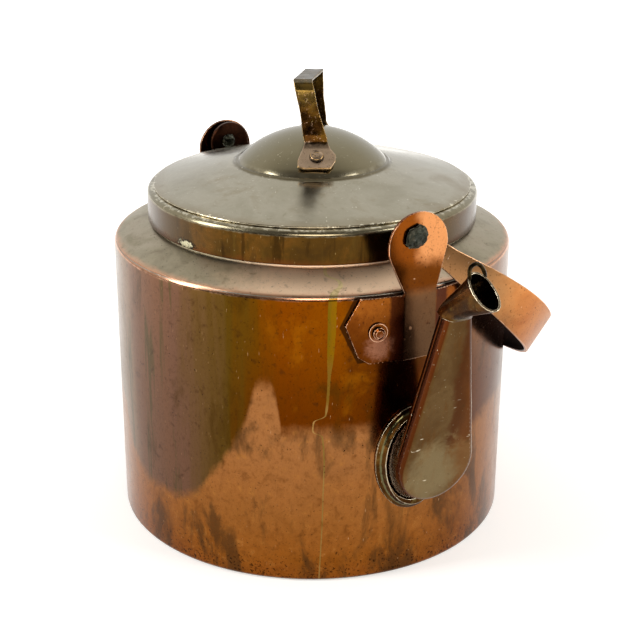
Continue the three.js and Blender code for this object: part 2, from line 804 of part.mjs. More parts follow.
// Base collar: a flared ring brazed to the wall, drawn up round the bowl
function spoutCollar() {
  const onWall = (grow, off) =>
    oval(bowlHalfWidth + grow, bowlHalfHeight + grow, 2, 32).map(([y, z]) => [
      Math.sqrt((bodyRadius + gap + off) ** 2 - y * y),
      y,
      bowlCentre + z,
    ]);
  const rise = collarHeight - collarEdge;
  const outer = lofted([
    onWall(collarSpread, -bodyRadius * 0.05),
    onWall(collarSpread, collarEdge),
    onWall(collarSpread * 0.55, collarEdge + rise * 0.25),
    onWall(collarSpread * 0.3, collarEdge + rise),
  ]);
  return cutAway(outer, bowlSolid(-gap), wallCutter);
}

// Nozzle rings: each spans from a front line to a back line that curve out to the tilted mouth
const ductTop = { front: onFace(0, faceLength - nozzleLap, 0), back: onFace(0, faceLength - nozzleLap, -ductDepth - gap - backSheet - backBulge) };
const mouthCentre = [bodyRadius + mouthReach, mouthHeight];
const mouthSlope = [-Math.cos(mouthTilt), Math.sin(mouthTilt)];

function nozzleSolid(wall, from, to, count = 20) {
  const margin = wall;
  const lowFront = [ductTop.front[0] + faceOut[0] * margin, ductTop.front[2] + faceOut[1] * margin];
  const lowBack = [ductTop.back[0] - faceOut[0] * margin, ductTop.back[2] - faceOut[1] * margin];
  const half = mouthLength / 2 - nozzleSheet - gap + margin;
  const mouthFront = [mouthCentre[0] - mouthSlope[0] * half, mouthCentre[1] - mouthSlope[1] * half];
  const mouthBack = [mouthCentre[0] + mouthSlope[0] * half, mouthCentre[1] + mouthSlope[1] * half];
  const frontLine = new THREE.CubicBezierCurve(
    new THREE.Vector2(...lowFront),
    new THREE.Vector2(lowFront[0] + faceUp[0] * 4, lowFront[1] + faceUp[1] * 4),
    new THREE.Vector2(mouthFront[0] - 14, mouthFront[1] - 7),
    new THREE.Vector2(...mouthFront),
  );
  const backLine = new THREE.CubicBezierCurve(
    new THREE.Vector2(...lowBack),
    new THREE.Vector2(lowBack[0] + faceUp[0] * 7, lowBack[1] + faceUp[1] * 7),
    new THREE.Vector2(mouthBack[0] - 7, mouthBack[1] - 11),
    new THREE.Vector2(...mouthBack),
  );
  const lowWidth = faceTopRadius + margin;
  const endWidth = mouthWidth / 2 - nozzleSheet - gap + margin;
  const rings = [];
  const steps = 7;
  for (let k = 0; k <= steps; k += 1) {
    const t = from + ((to - from) * k) / steps;
    const inside = THREE.MathUtils.clamp(t, 0, 1);
    const front = frontLine.getPoint(inside);
    const back = backLine.getPoint(inside);
    const beyond = t - inside;
    const lift = beyond < 0 ? [faceUp[0] * beyond * 40, faceUp[1] * beyond * 40]
      : [Math.sin(mouthTilt) * beyond * 40, Math.cos(mouthTilt) * beyond * 40];
    const middle = front.clone().add(back).multiplyScalar(0.5);
    const reach = back.clone().sub(front).multiplyScalar(0.5);
    const width = lowWidth + (endWidth - lowWidth) * inside;
    const power = 3 - 0.9 * inside;
    rings.push(
      oval(1, width, power, count).map(([m, y]) => [
        middle.x + reach.x * m + lift[0],
        y,
        middle.y + reach.y * m + lift[1],
      ]),
    );
  }
  return lofted(rings);
}

function spoutNozzle() {
  const outer = nozzleSolid(nozzleSheet + gap, 0, 1);
  const passage = nozzleSolid(0, -0.2, 1.2);
  const seat = unite(ductSolid(-gap, ductDepth + gap, gap), backTray(-gap, ductDepth, gap));
  return cutAway(outer, passage, seat);
}

// Mouth eye: a short wire arched over the upper end of the mouth, one foot on each side
function mouthEye() {
  const back = [mouthCentre[0] + mouthSlope[0] * mouthLength * 0.3, mouthCentre[1] + mouthSlope[1] * mouthLength * 0.3];
  const peak = [mouthCentre[0] + mouthSlope[0] * mouthLength * 0.42, mouthCentre[1] + mouthSlope[1] * mouthLength * 0.42 + eyeRise];
  const path = new THREE.CatmullRomCurve3([
    new THREE.Vector3(back[0] - 0.5, -eyeHalf - 0.3, back[1] - 1),
    new THREE.Vector3(back[0] - 0.8, -eyeHalf, back[1] + 2.4),
    new THREE.Vector3(peak[0], -eyeHalf * 0.7, peak[1] - 1.6),
    new THREE.Vector3(peak[0], 0, peak[1]),
    new THREE.Vector3(peak[0], eyeHalf * 0.7, peak[1] - 1.6),
    new THREE.Vector3(back[0] - 0.8, eyeHalf, back[1] + 2.4),
    new THREE.Vector3(back[0] - 0.5, eyeHalf + 0.3, back[1] - 1),
  ]);
  const section = new THREE.Shape(oval(eyeWire, eyeWire, 2, 7).map(([x, y]) => new THREE.Vector2(x, y)));
  const geometry = new THREE.ExtrudeGeometry(section, { steps: 14, bevelEnabled: false, extrudePath: path });
  return cutAway(solidOf(geometry), nozzleSolid(nozzleSheet + gap * 2, -0.05, 1.01), nozzleSolid(0, 0.5, 1.3));
}

// The scene graph: kettle body, lid and bail
const kettle = new THREE.Group();
const body = new THREE.Group();
const lid = new THREE.Group();
const bail = new THREE.Group();
kettle.add(body, lid, bail);

function piece(group, name, solid, finish, turn = 0) {
  const mesh = new THREE.Mesh(geometryOf(solid), new THREE.MeshStandardMaterial(finish));
  mesh.name = name;
  mesh.rotation.z = turn;
  group.add(mesh);
}

piece(body, "body_shell", bodyShell(), copper);
piece(body, "neck_ring", neckRing(), copper);
piece(body, "bottom_pan", bottomPan(), copper);
piece(body, "spout_front_shell", spoutFrontShell(), copper);
piece(body, "spout_back_plate", spoutBackPlate(), copper);
piece(body, "spout_base_collar", spoutCollar(), copper);
piece(body, "spout_nozzle", spoutNozzle(), copper);
piece(body, "mouth_eye", mouthEye(), brass);

[["front", 1, frontEarHead], ["rear", -1, rearEarHead]].forEach(([place, way, head]) => {
  const turn = way > 0 ? 0 : Math.PI;
  piece(body, `${place}_ear`, ear(way, head), brightCopper, turn);
  piece(body, `${place}_pivot_rivet`, pivotRivet(way), iron, turn);
  earRivetSwings.forEach((swing, k) => {
    const side = k === 0 ? "a" : "b";
    piece(body, `${place}_ear_rivet_${side}`, earRivet(swing), brightCopper, turn);
    piece(body, `${place}_ear_washer_${side}`, earWasher(swing), brightCopper, turn);
  });
});

piece(lid, "lid_crown", lidCrown(), patina);
piece(lid, "lid_skirt", lidSkirt(), copper);
piece(lid, "lid_handle", lidHandle(), brass);
piece(lid, "lid_handle_rivet_front", handleRivet(1), brass);
piece(lid, "lid_handle_rivet_rear", handleRivet(-1), brass);

piece(bail, "bail_strap", bailStrap(), brightCopper);

export default kettle;
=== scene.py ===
import bpy
import bmesh
import math
import numpy
from mathutils import Matrix, Vector, noise


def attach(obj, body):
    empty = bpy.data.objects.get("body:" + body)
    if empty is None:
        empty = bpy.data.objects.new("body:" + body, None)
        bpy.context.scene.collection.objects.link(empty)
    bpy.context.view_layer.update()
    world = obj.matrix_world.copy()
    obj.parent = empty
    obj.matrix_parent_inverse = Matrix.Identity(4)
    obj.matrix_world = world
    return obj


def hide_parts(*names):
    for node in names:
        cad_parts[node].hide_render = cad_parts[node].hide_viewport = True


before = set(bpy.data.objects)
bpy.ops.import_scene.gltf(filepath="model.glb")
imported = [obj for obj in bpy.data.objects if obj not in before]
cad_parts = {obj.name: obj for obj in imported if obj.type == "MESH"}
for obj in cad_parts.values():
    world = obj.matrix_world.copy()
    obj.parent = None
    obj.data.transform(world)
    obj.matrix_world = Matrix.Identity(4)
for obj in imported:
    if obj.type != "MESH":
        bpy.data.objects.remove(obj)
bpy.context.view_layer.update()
mm = 0.001

# The view of the kettle: a long lens a little above the lid, turned a third of a degree off level.
camera = bpy.data.objects.new("camera", bpy.data.cameras.new("camera"))
bpy.context.scene.collection.objects.link(camera)
focal_pixels, picture_pixels = 1378, 640
camera.data.lens = camera.data.sensor_width * focal_pixels / picture_pixels
camera_place = (0.7355, -0.4015, 0.45)
level_right = Vector((0.4848, 0.8747, 0))
level_up = Vector((-0.3208, 0.1778, 0.9304))
roll = 0.006223
view_right = math.cos(roll) * level_right + math.sin(roll) * level_up
view_up = math.cos(roll) * level_up - math.sin(roll) * level_right
view_back = view_right.cross(view_up)
for row in range(3):
    camera.matrix_world[row][:] = (view_right[row], view_up[row], view_back[row], camera_place[row])
bpy.context.scene.camera = camera
bpy.context.scene.view_settings.view_transform = "Standard"


# The room: a white floor that takes the kettle's shadow, and soft daylight from large windows.
# Bright copper shows whatever stands round it: a pale wall behind, a dimmer ceiling, a dark front.
def linear(code):
    """The linear colour of an sRGB hex code such as B87333."""
    parts = [int(code[k:k + 2], 16) / 255 for k in (0, 2, 4)]
    return [c / 12.92 if c <= 0.04045 else ((c + 0.055) / 1.055) ** 2.4 for c in parts] + [1]


def add(tree, kind, inputs=None, **settings):
    """A new node with its settings and its inputs: values, sockets, or nodes for their output."""
    node = tree.nodes.new(kind)
    for name, value in settings.items():
        setattr(node, name, value)
    for socket, value in (inputs or {}).items():
        if isinstance(value, bpy.types.Node):
            value = [output for output in value.outputs if output.enabled][0]
        if isinstance(value, bpy.types.NodeSocket):
            tree.links.new(value, node.inputs[socket])
        else:
            node.inputs[socket].default_value = value
    return node


def set_stops(node, stops):
    """Gives a colour ramp node its stops, each a place from 0 to 1 and a hex code."""
    ramp = node.color_ramp
    while len(ramp.elements) < len(stops):
        ramp.elements.new(1)
    for element, (place, code) in zip(ramp.elements, stops):
        element.position = place
        element.color = linear(code)
    return node


def empty_tree(owner):
    """The node tree of a material or a world, with no node in it."""
    owner.use_nodes = True
    owner.node_tree.nodes.clear()
    return owner.node_tree


def seen_rays(tree):
    """1 for the rays that show a surface: straight, off metal and through glass."""
    rays = add(tree, "ShaderNodeLightPath").outputs
    seen = add(tree, "ShaderNodeMath", {0: rays["Is Camera Ray"], 1: rays["Is Glossy Ray"]})
    return add(tree, "ShaderNodeMath", {0: seen, 1: rays["Is Transmission Ray"]}, use_clamp=True)


def new_object(name):
    """An empty mesh object in the scene."""
    piece = bpy.data.objects.new(name, bpy.data.meshes.new(name))
    bpy.context.scene.collection.objects.link(piece)
    return piece


def stage_piece(name, shape, finish):
    """A piece of the room from a bmesh, with its material."""
    piece = new_object(name)
    shape.to_mesh(piece.data)
    shape.free()
    piece.data.materials.append(finish)
    return piece


# Matt white card: it has no gloss of its own, so the kettle's shadow lies soft on it. Its glow
# fades from full at 0.85 m from the middle to 0.38 at 0.32 m, and leaves the shadow there.
white_card = bpy.data.materials.new("matt_white_card")
tree = empty_tree(white_card)
here = add(tree, "ShaderNodeTexCoord").outputs["Object"]
far = add(tree, "ShaderNodeVectorMath", {0: here}, operation="LENGTH")
bright = add(tree, "ShaderNodeMapRange", {0: far, 1: 0.32, 2: 0.85, 3: 0.38, 4: 1.0})
shown = add(tree, "ShaderNodeMath", {0: seen_rays(tree), 1: bright}, operation="MULTIPLY")
card = add(tree, "ShaderNodeBsdfDiffuse", {"Color": linear("E6E5E3")})
glow = add(tree, "ShaderNodeEmission", {"Color": linear("FFFFFF"), "Strength": shown})
both = add(tree, "ShaderNodeAddShader", {0: card, 1: glow})
add(tree, "ShaderNodeOutputMaterial", {"Surface": both})
shape = bmesh.new()
bmesh.ops.create_grid(shape, size=6)
stage_piece("floor", shape, white_card)

# A curtain hangs round the front and over the top, outside the picture: it is what the copper
# mirrors on the camera's side. Behind the kettle it is open to the white backdrop. Grey cloth,
# dark in front and pale towards the backdrop, gives the copper its dark and bright sides.
to_backdrop, curtain_radius = Vector((-0.878, 0.479, 0)), 5.0
curtain_cloth = bpy.data.materials.new("grey_curtain")
tree = empty_tree(curtain_cloth)
here = add(tree, "ShaderNodeTexCoord").outputs["Object"]
behind = add(tree, "ShaderNodeVectorMath", {0: here, 1: to_backdrop}, operation="DOT_PRODUCT")
share = add(tree, "ShaderNodeMapRange", {0: behind, 1: -curtain_radius, 2: curtain_radius})
tone = set_stops(add(tree, "ShaderNodeValToRGB", {0: share}), [
    (0, "524E4A"), (0.38, "7E7A73"), (0.5, "CAC6BE"), (0.6, "E6E2DA"), (0.7, "FBF8F3")])
cloth = add(tree, "ShaderNodeEmission", {"Color": tone, "Strength": 1.0})
add(tree, "ShaderNodeOutputMaterial", {"Surface": cloth})
shape = bmesh.new()
bmesh.ops.create_uvsphere(shape, u_segments=48, v_segments=24, radius=curtain_radius)
open_side = [vertex for vertex in shape.verts
             if vertex.co.z < -0.1 or vertex.co.dot(to_backdrop) > 3.2]
bmesh.ops.delete(shape, geom=open_side, context="VERTS")
curtain = stage_piece("curtain", shape, curtain_cloth)
curtain.visible_camera = False

backdrop = bpy.data.worlds.new("backdrop")
bpy.context.scene.world = backdrop
tree = empty_tree(backdrop)
soft = add(tree, "ShaderNodeBackground", {"Color": linear("FFFFFF"), "Strength": 1.12})
white = add(tree, "ShaderNodeBackground", {"Color": linear("FFFFFF"), "Strength": 1.0})
shown = add(tree, "ShaderNodeMixShader", {0: seen_rays(tree), 1: soft, 2: white})
add(tree, "ShaderNodeOutputWorld", {"Surface": shown})


def window(name, place, size, power, colour="FFFFFF"):
    """A soft window: an area lamp that faces the middle of the kettle."""
    lamp = bpy.data.objects.new(name, bpy.data.lights.new(name, "AREA"))
    bpy.context.scene.collection.objects.link(lamp)
    lamp.data.shape = "RECTANGLE"
    lamp.data.size, lamp.data.size_y = size
    lamp.data.energy = power
    lamp.data.color = linear(colour)[:3]
    lamp.location = place
    middle = Vector((0, 0, 0.12))
    lamp.rotation_euler = (middle - Vector(place)).to_track_quat("-Z", "Y").to_euler()


window("window_left", (-0.35, -1.5, 0.9), (0.5, 1.1), 19)
window("window_right", (1.1, 0.9, 0.9), (0.6, 0.9), 12)
window("window_front", (1.6, -0.75, 1.1), (0.9, 0.6), 12, "FFF4E6")


# Body: one sheet of copper, rolled, brazed up its side and drawn in to a shoulder and a neck.
# Hammering has left shallow dents that make its reflections wander. Brazed to it below is the
# bottom, a pan with a raised rim.
def bent_sheet(corners, longest=5.0):
    """The outline of a sheet in mm, from corners of (radius, height, bend radius)."""
    bent = []
    for k, (radius, height, bend) in enumerate(corners):
        here = Vector((radius, height))
        if bend == 0:
            bent.append(here)
            continue
        back = (Vector(corners[k - 1][:2]) - here).normalized()
        on = (Vector(corners[(k + 1) % len(corners)][:2]) - here).normalized()
        half = back.angle(on) / 2
        centre = here + (back + on).normalized() * bend / math.sin(half)
        ends = [here + way * bend / math.tan(half) for way in (back, on)]
        for step in range(7):
            spoke = ends[0].lerp(ends[1], step / 6) - centre
            bent.append(centre + spoke.normalized() * bend)
    points = [bent[0]]
    for point in bent[1:]:
        pieces = max(1, math.ceil((point - points[-1]).length / longest))
        start = points[-1]
        points += [start.lerp(point, (k + 1) / pieces) for k in range(pieces)]
    return points


def new_tree(name, *inputs):
    """An empty Geometry Nodes tree with named inputs, and one mesh for its output."""
    tree = bpy.data.node_groups.new(name, "GeometryNodeTree")
    for label, kind in inputs:
        tree.interface.new_socket(label, in_out="INPUT", socket_type="NodeSocket" + kind)
    tree.interface.new_socket("Made", in_out="OUTPUT", socket_type="NodeSocketGeometry")
    return tree


def turning_tree():
    """Turns an outline about the upright axis, and dents the sheet with soft noise."""
    tree = new_tree(
        "turned_sheet", ("Outline", "Geometry"), ("Flats", "Int"), ("Dent depth", "Float"),
        ("Dent spacing", "Float"), ("Dent way", "Vector"), ("Seed", "Float"), ("Finish", "Material"))
    given = add(tree, "NodeGroupInput").outputs
    count = add(tree, "GeometryNodeAttributeDomainSize", {0: given["Outline"]}).outputs["Point Count"]
    columns = add(tree, "ShaderNodeMath", {0: given["Flats"], 1: 1.0})
    grid = add(tree, "GeometryNodeMeshGrid", {"Vertices X": columns, "Vertices Y": count})
    index = add(tree, "GeometryNodeInputIndex")
    part = add(tree, "ShaderNodeMath", {0: index, 1: count}, operation="DIVIDE")
    column = add(tree, "ShaderNodeMath", {0: part}, operation="FLOOR")
    row = add(tree, "ShaderNodeMath", {0: index, 1: count}, operation="MODULO")
    share = add(tree, "ShaderNodeMath", {0: column, 1: given["Flats"]}, operation="DIVIDE")
    angle = add(tree, "ShaderNodeMath", {0: share, 1: math.tau}, operation="MULTIPLY")
    here = add(tree, "GeometryNodeInputPosition")
    corner = add(tree, "GeometryNodeSampleIndex", {
        0: given["Outline"], "Value": here, "Index": row}, data_type="FLOAT_VECTOR")
    placed = add(tree, "ShaderNodeVectorRotate", {
        "Vector": corner, "Angle": angle}, rotation_type="Z_AXIS")
    swell = add(tree, "ShaderNodeTexNoise", {
        "Vector": placed, "W": given["Seed"], "Scale": given["Dent spacing"], "Detail": 1.0},
        noise_dimensions="4D")
    ways = add(tree, "ShaderNodeSeparateXYZ", {0: given["Dent way"]}).outputs
    spoke = add(tree, "ShaderNodeVectorMath", {0: placed, 1: (1, 1, 0)}, operation="MULTIPLY")
    spoke = add(tree, "ShaderNodeVectorMath", {0: spoke}, operation="NORMALIZE")
    sideways = add(tree, "ShaderNodeVectorMath", {0: spoke, "Scale": ways["X"]}, operation="SCALE")
    upright = add(tree, "ShaderNodeCombineXYZ", {"Z": ways["Z"]})
    way = add(tree, "ShaderNodeVectorMath", {0: sideways, 1: upright})
    depth = add(tree, "ShaderNodeMath", {0: swell, 1: given["Dent depth"]}, operation="MULTIPLY")
    push = add(tree, "ShaderNodeVectorMath", {0: way, "Scale": depth}, operation="SCALE")
    place = add(tree, "ShaderNodeVectorMath", {0: placed, 1: push})
    bent = add(tree, "GeometryNodeSetPosition", {"Geometry": grid, "Position": place})
    closed = add(tree, "GeometryNodeMergeByDistance", {"Geometry": bent, "Distance": 1e-6})
    real = add(tree, "GeometryNodeRealizeInstances", {"Geometry": closed})
    done = add(tree, "GeometryNodeSetMaterial", {"Geometry": real, "Material": given["Finish"]})
    add(tree, "NodeGroupOutput", {0: done})
    return tree


turned_sheet = turning_tree()


def give(obj, tree, values):
    """Puts a tree on an object, its inputs set by their sockets' identifiers."""
    modifier = obj.modifiers.new(tree.name, "NODES")
    modifier.node_group = tree
    for socket in tree.interface.items_tree:
        if socket.name in values:
            modifier[socket.identifier] = values[socket.name]


def mark_wear_and_shade(mesh):
    """Keeps in an attribute how sharply the surface turns, 0.5 at an edge round by 1 mm. It marks
    rubbed edges and dirty hollows, and where highlights on edges and shade in hollows are painted.
    """
    count = len(mesh.vertices)
    places, outward = numpy.empty(count * 3), numpy.empty(count * 3)
    pairs = numpy.empty(len(mesh.edges) * 2, int)
    mesh.vertices.foreach_get("co", places)
    mesh.vertex_normals.foreach_get("vector", outward)
    mesh.edges.foreach_get("vertices", pairs)
    places, outward, (one, two) = places.reshape(-1, 3), outward.reshape(-1, 3), pairs.reshape(-1, 2).T
    gap = places[one] - places[two]
    length = (gap ** 2).sum(1) + 1e-12
    number = numpy.bincount(one, minlength=count) + numpy.bincount(two, minlength=count) + 1e-9
    wear_and_shade = numpy.bincount(one, (outward[one] * gap).sum(1) / length, count)
    wear_and_shade = (wear_and_shade - numpy.bincount(two, (outward[two] * gap).sum(1) / length, count)) / number * mm
    for _ in range(2):
        beside = numpy.bincount(one, wear_and_shade[two], count) + numpy.bincount(two, wear_and_shade[one], count)
        wear_and_shade = (wear_and_shade + beside / number) / 2
    mesh.attributes.new("wear_and_shade", "FLOAT", "POINT").data.foreach_set("value", wear_and_shade)


def made(obj, name):
    """A plain mesh object of what obj's modifiers make, in place of obj, with its faces outwards."""
    evaluated = obj.evaluated_get(bpy.context.evaluated_depsgraph_get())
    mesh = bpy.data.meshes.new_from_object(evaluated)
    bpy.data.objects.remove(obj)
    piece = bpy.data.objects.new(name, mesh)
    bpy.context.scene.collection.objects.link(piece)
    shape = bmesh.new()
    shape.from_mesh(mesh)
    bmesh.ops.remove_doubles(shape, verts=shape.verts, dist=1e-6)
    bmesh.ops.recalc_face_normals(shape, faces=shape.faces)
    shape.to_mesh(mesh)
    shape.free()
    mesh.shade_smooth()
    mark_wear_and_shade(mesh)
    return piece


def drawn(name, outline):
    """An object that holds an outline in mm, as points joined in a row."""
    line = new_object(name + "_outline")
    points = [(radius * mm, 0, height * mm) for radius, height in outline]
    line.data.from_pydata(points, [(k, k + 1) for k in range(len(points) - 1)], [])
    return line


def turn(name, outline, finish, dent, spacing, way, seed):
    """A turned piece of sheet from its outline, with dents so deep and so far apart, in mm."""
    start = drawn(name, outline)
    give(start, turned_sheet, {
        "Flats": 192, "Dent depth": dent * mm, "Dent spacing": 1 / (spacing * mm),
        "Dent way": way, "Seed": seed, "Finish": finish})
    return made(start, name)


def aged_metal(name, tones, cloud, pits, scratches, rough, relief):
    """Sheet metal with clouds of stain, pits and fine scratches; sizes are in mm.

    Pits are given by their size, share and tone, and scratches by their share and tone. It gives
    the material, its tree, and the colour mix that lies under the pits.
    """
    pit_size, pit_share, pit_tone = pits
    scratch_share, scratch_tone = scratches
    finish = bpy.data.materials.new(name)
    tree = empty_tree(finish)
    here = add(tree, "ShaderNodeTexCoord").outputs["Object"]
    clouds = add(tree, "ShaderNodeTexNoise", {
        "Vector": here, "Scale": 1 / (cloud * mm), "Detail": 8.0, "Roughness": 0.62, "Distortion": 0.4})
    ramp = set_stops(add(tree, "ShaderNodeValToRGB", {0: clouds}), tones)
    holes = add(tree, "ShaderNodeTexNoise", {
        "Vector": here, "Scale": 1 / (pit_size * mm), "Detail": 3.0, "Roughness": 0.6})
    pitted = add(tree, "ShaderNodeMapRange", {0: holes, 1: 0.72 - pit_share, 2: 0.76 - pit_share})
    scratch_size = (0.4 * mm, 9 * mm, 5 * mm)
    turned = add(tree, "ShaderNodeMapping", {
        "Vector": here, "Rotation": (0.5, 0.3, 0.9), "Scale": [1 / size for size in scratch_size]})
    lines = add(tree, "ShaderNodeTexNoise", {"Vector": turned, "Scale": 1.0, "Detail": 2.0})
    scratched = add(tree, "ShaderNodeMapRange", {
        0: lines, 1: 0.74 - scratch_share, 2: 0.8 - scratch_share, 4: 0.75})
    under = add(tree, "ShaderNodeMix", {0: 0, 6: ramp}, data_type="RGBA")
    dark = add(tree, "ShaderNodeMix", {0: pitted, 6: under, 7: linear(pit_tone)}, data_type="RGBA")
    light = add(tree, "ShaderNodeMix", {
        0: scratched, 6: dark, 7: linear(scratch_tone)}, data_type="RGBA")
    dull = add(tree, "ShaderNodeMapRange", {0: clouds, 1: 0.3, 2: 0.7, 3: rough[0], 4: rough[1]})
    duller = add(tree, "ShaderNodeMath", {0: pitted, 1: 0.25, 2: dull}, operation="MULTIPLY_ADD")
    ground = add(tree, "ShaderNodeMath", {0: pitted, 1: -0.8, 2: clouds}, operation="MULTIPLY_ADD")
    worked = add(tree, "ShaderNodeBump", {"Strength": 0.7, "Distance": relief * mm, "Height": ground})
    metal = add(tree, "ShaderNodeBsdfPrincipled", {
        "Base Color": light, "Metallic": 1.0, "Roughness": duller, "Normal": worked})
    add(tree, "ShaderNodeOutputMaterial", {"Surface": metal})
    return finish, tree, under


def measured(tree, *names):
    """What is asked for at each point: x, y, level and radius in mm, turned in degrees, and how
    sharply the surface turns.

    Radius is measured from the upright axis, turned is the turn about it, and the last is how
    sharply the surface turns there, kept for rubbed edges and dirty hollows and for painted
    highlights and shade.
    """
    here = add(tree, "ShaderNodeTexCoord").outputs["Object"]
    place = add(tree, "ShaderNodeVectorMath", {0: here, "Scale": 1 / mm}, operation="SCALE")
    axes = add(tree, "ShaderNodeSeparateXYZ", {0: place}).outputs
    spoke = add(tree, "ShaderNodeVectorMath", {0: place, 1: (1, 1, 0)}, operation="MULTIPLY")
    radius = add(tree, "ShaderNodeVectorMath", {0: spoke}, operation="LENGTH")
    angle = add(tree, "ShaderNodeMath", {0: axes["Y"], 1: axes["X"]}, operation="ARCTAN2")
    turned = add(tree, "ShaderNodeMath", {0: angle}, operation="DEGREES")
    wear_and_shade = add(tree, "ShaderNodeAttribute", attribute_name="wear_and_shade").outputs["Fac"]
    found = {"x": axes["X"], "y": axes["Y"], "level": axes["Z"], "radius": radius,
             "turned": turned, "wear_and_shade": wear_and_shade}
    return [found[name] for name in names]


def marks(tree, *patterns):
    """Noise patterns, each from its size in mm, its detail and how far it is drawn out upright."""
    here = add(tree, "ShaderNodeTexCoord").outputs["Object"]
    found = []
    for size, detail, drawn_out in patterns:
        place = add(tree, "ShaderNodeMapping", {
            "Vector": here, "Location": (size, 0, 0), "Scale": (1, 1, 1 / drawn_out)})
        found.append(add(tree, "ShaderNodeTexNoise", {
            "Vector": place, "Scale": 1 / (size * mm), "Detail": detail, "Roughness": 0.62,
            "Distortion": 0.4}))
    return found


def ragged(tree, value, *reaches):
    """A value made ragged by patterns, each times how far it reaches."""
    for pattern, reach in reaches:
        value = add(tree, "ShaderNodeMath", {0: pattern, 1: reach, 2: value}, operation="MULTIPLY_ADD")
    return value


def away(tree, value, place):
    """How far a value lies from a place, to either side."""
    off = add(tree, "ShaderNodeMath", {0: value, 1: -place})
    return add(tree, "ShaderNodeMath", {0: off}, operation="ABSOLUTE")


def stains(tree, ground, *layers):
    """Colours laid over a ground, each where its pattern goes from low to high."""
    for pattern, low, high, most, colour in layers:
        if isinstance(colour, str):
            colour = linear(colour)
        mask = add(tree, "ShaderNodeMapRange", {
            0: pattern, 1: low, 2: high, 4: most}, interpolation_type="SMOOTHSTEP")
        ground = add(tree, "ShaderNodeMix", {0: mask, 6: ground, 7: colour}, data_type="RGBA")
    return ground


def set_points(node, points):
    """Gives a float curve node its points of (place, height), each from 0 to 1."""
    curve = node.mapping.curves[0]
    curve.points[0].location, curve.points[1].location = points[0], points[-1]
    for point in points[1:-1]:
        curve.points.new(*point)
    node.mapping.update()
    return node


wall_radius, wall_inside, foot_hole, neck_hole = 125, 123.5, 119.2, 101.4
sheet, sheet_upright = 1.5, 1.62
shoulder_radius, shoulder_height = 122.19, 183.17
shoulder_slope = math.tan(math.radians(22))


def shoulder(radius):
    """The height of the shoulder's outer face at a radius."""
    return shoulder_height + (shoulder_radius - radius) * shoulder_slope


# The wall is glossy copper with stains: red-brown and olive on the left, amber by the seam, and
# among them painted reflections. Below a wavy line it is paler, and turns golden and pitted at the
# foot. Heights are in mm, turns in degrees about the upright axis.
body_finish, tree, under = aged_metal(
    "glossy_stained_copper",
    [(0.28, "734017"), (0.42, "895425"), (0.56, "985D2A"), (0.7, "78451B")],
    cloud=26, pits=(1.3, 0.05, "170B04"), scratches=(0.015, "BB936A"),
    rough=(0.14, 0.27), relief=0.06)
y, level, radius, turned = measured(tree, "y", "level", "radius", "turned")
streak, run, patch, smudge, small, grain, speck = marks(
    tree, (15, 5, 9), (7, 4, 14), (24, 7, 1), (22, 5, 2.6), (6, 5, 1), (1.6, 4, 1.6), (1.5, 3, 1))

# The paler copper below: rose higher up, golden at the foot, with smudges and burnt specks.
height = add(tree, "ShaderNodeMapRange", {0: ragged(tree, level, (patch, 34)), 1: 18, 2: 125})
paler_lower_copper = set_stops(add(tree, "ShaderNodeValToRGB", {0: height}), [
    (0, "783C04"), (0.12, "80470A"), (0.36, "8A5626"), (0.85, "93633B")])
clouded = under.inputs[6].links[0].from_socket
low = add(tree, "ShaderNodeMix", {0: 0.35, 6: paler_lower_copper, 7: clouded}, data_type="RGBA")
foot = add(tree, "ShaderNodeMapRange", {0: level, 1: 30, 2: 4, 4: 0.13})
burnt = add(tree, "ShaderNodeMath", {0: foot, 1: speck})
low = stains(tree, low, (small, 0.5, 0.78, 0.6, "582F0D"), (small, 0.46, 0.26, 0.5, "A46C32"),
             (smudge, 0.5, 0.64, 0.72, "3E2A16"), (grain, 0.5, 0.75, 0.4, "653712"),
             (burnt, 0.68, 0.74, 0.8, "210F03"))

# Upper part: tones that run down the wall in broad bands and thin runs. The bands are partly
# stains and partly painted reflection, such as the dark turn just before the front ear, and on
# the amber side painted shade darkens the wall downwards from 160 mm.
wander = ragged(tree, turned, (streak, 24))
share = add(tree, "ShaderNodeMapRange", {0: wander, 1: -168, 2: 192})
high = set_stops(add(tree, "ShaderNodeValToRGB", {0: share}), [((a + 180) / 360, code) for a, code in (
    (-180, "6E4726"), (-130, "65432C"), (-96, "765B40"), (-84, "6A4832"), (-68, "634534"),
    (-60, "594021"), (-51, "4C360A"), (-42, "593403"), (-33, "6C3401"), (-22, "703901"),
    (-12, "4D2503"), (-5, "2F1203"), (10, "522F16"), (28, "745137"), (60, "7D593E"),
    (110, "734A25"), (180, "6E4726"))])
amber = add(tree, "ShaderNodeMapRange", {0: wander, 1: -42, 2: -28})
shade = add(tree, "ShaderNodeMapRange", {0: level, 1: 160, 2: 104})
olive = add(tree, "ShaderNodeMapRange", {0: wander, 1: -38, 2: -58})
lit, deep, thin = [add(tree, "ShaderNodeMath", {0: part, 1: pattern}, operation="MULTIPLY")
                   for part, pattern in ((amber, patch), (amber, shade), (olive, run))]
high = stains(tree, high, (deep, 0, 1, 0.7, "522301"), (lit, 0.52, 0.72, 0.45, "8C5206"),
              (thin, 0.54, 0.66, 0.6, "3E3B1C"), (smudge, 0.54, 0.7, 0.6, "3C2605"),
              (small, 0.56, 0.72, 0.45, "2F1908"), (grain, 0.5, 0.78, 0.4, "321905"))

# The wavy lower limit of the banded tones, and the paler copper below it.
share = add(tree, "ShaderNodeMapRange", {0: turned, 1: -180, 2: 180})
limit = set_points(add(tree, "ShaderNodeFloatCurve", {"Value": share}), [
    ((a + 180) / 360, height / 200) for a, height in (
        (-180, 70), (-112, 90), (-100, 82), (-92, 56), (-75, 42), (-66, 44), (-58, 64), (-50, 88),
        (-45.5, 108), (-42.5, 127), (-39, 127), (-36, 98), (-32, 99), (-12, 100), (0, 60),
        (20, 80), (40, 90), (90, 60), (180, 70))])
above = ragged(tree, level, (patch, 16), (small, 6), (limit, -200))
wall = stains(tree, low, (above, 5, 16, 1, high))

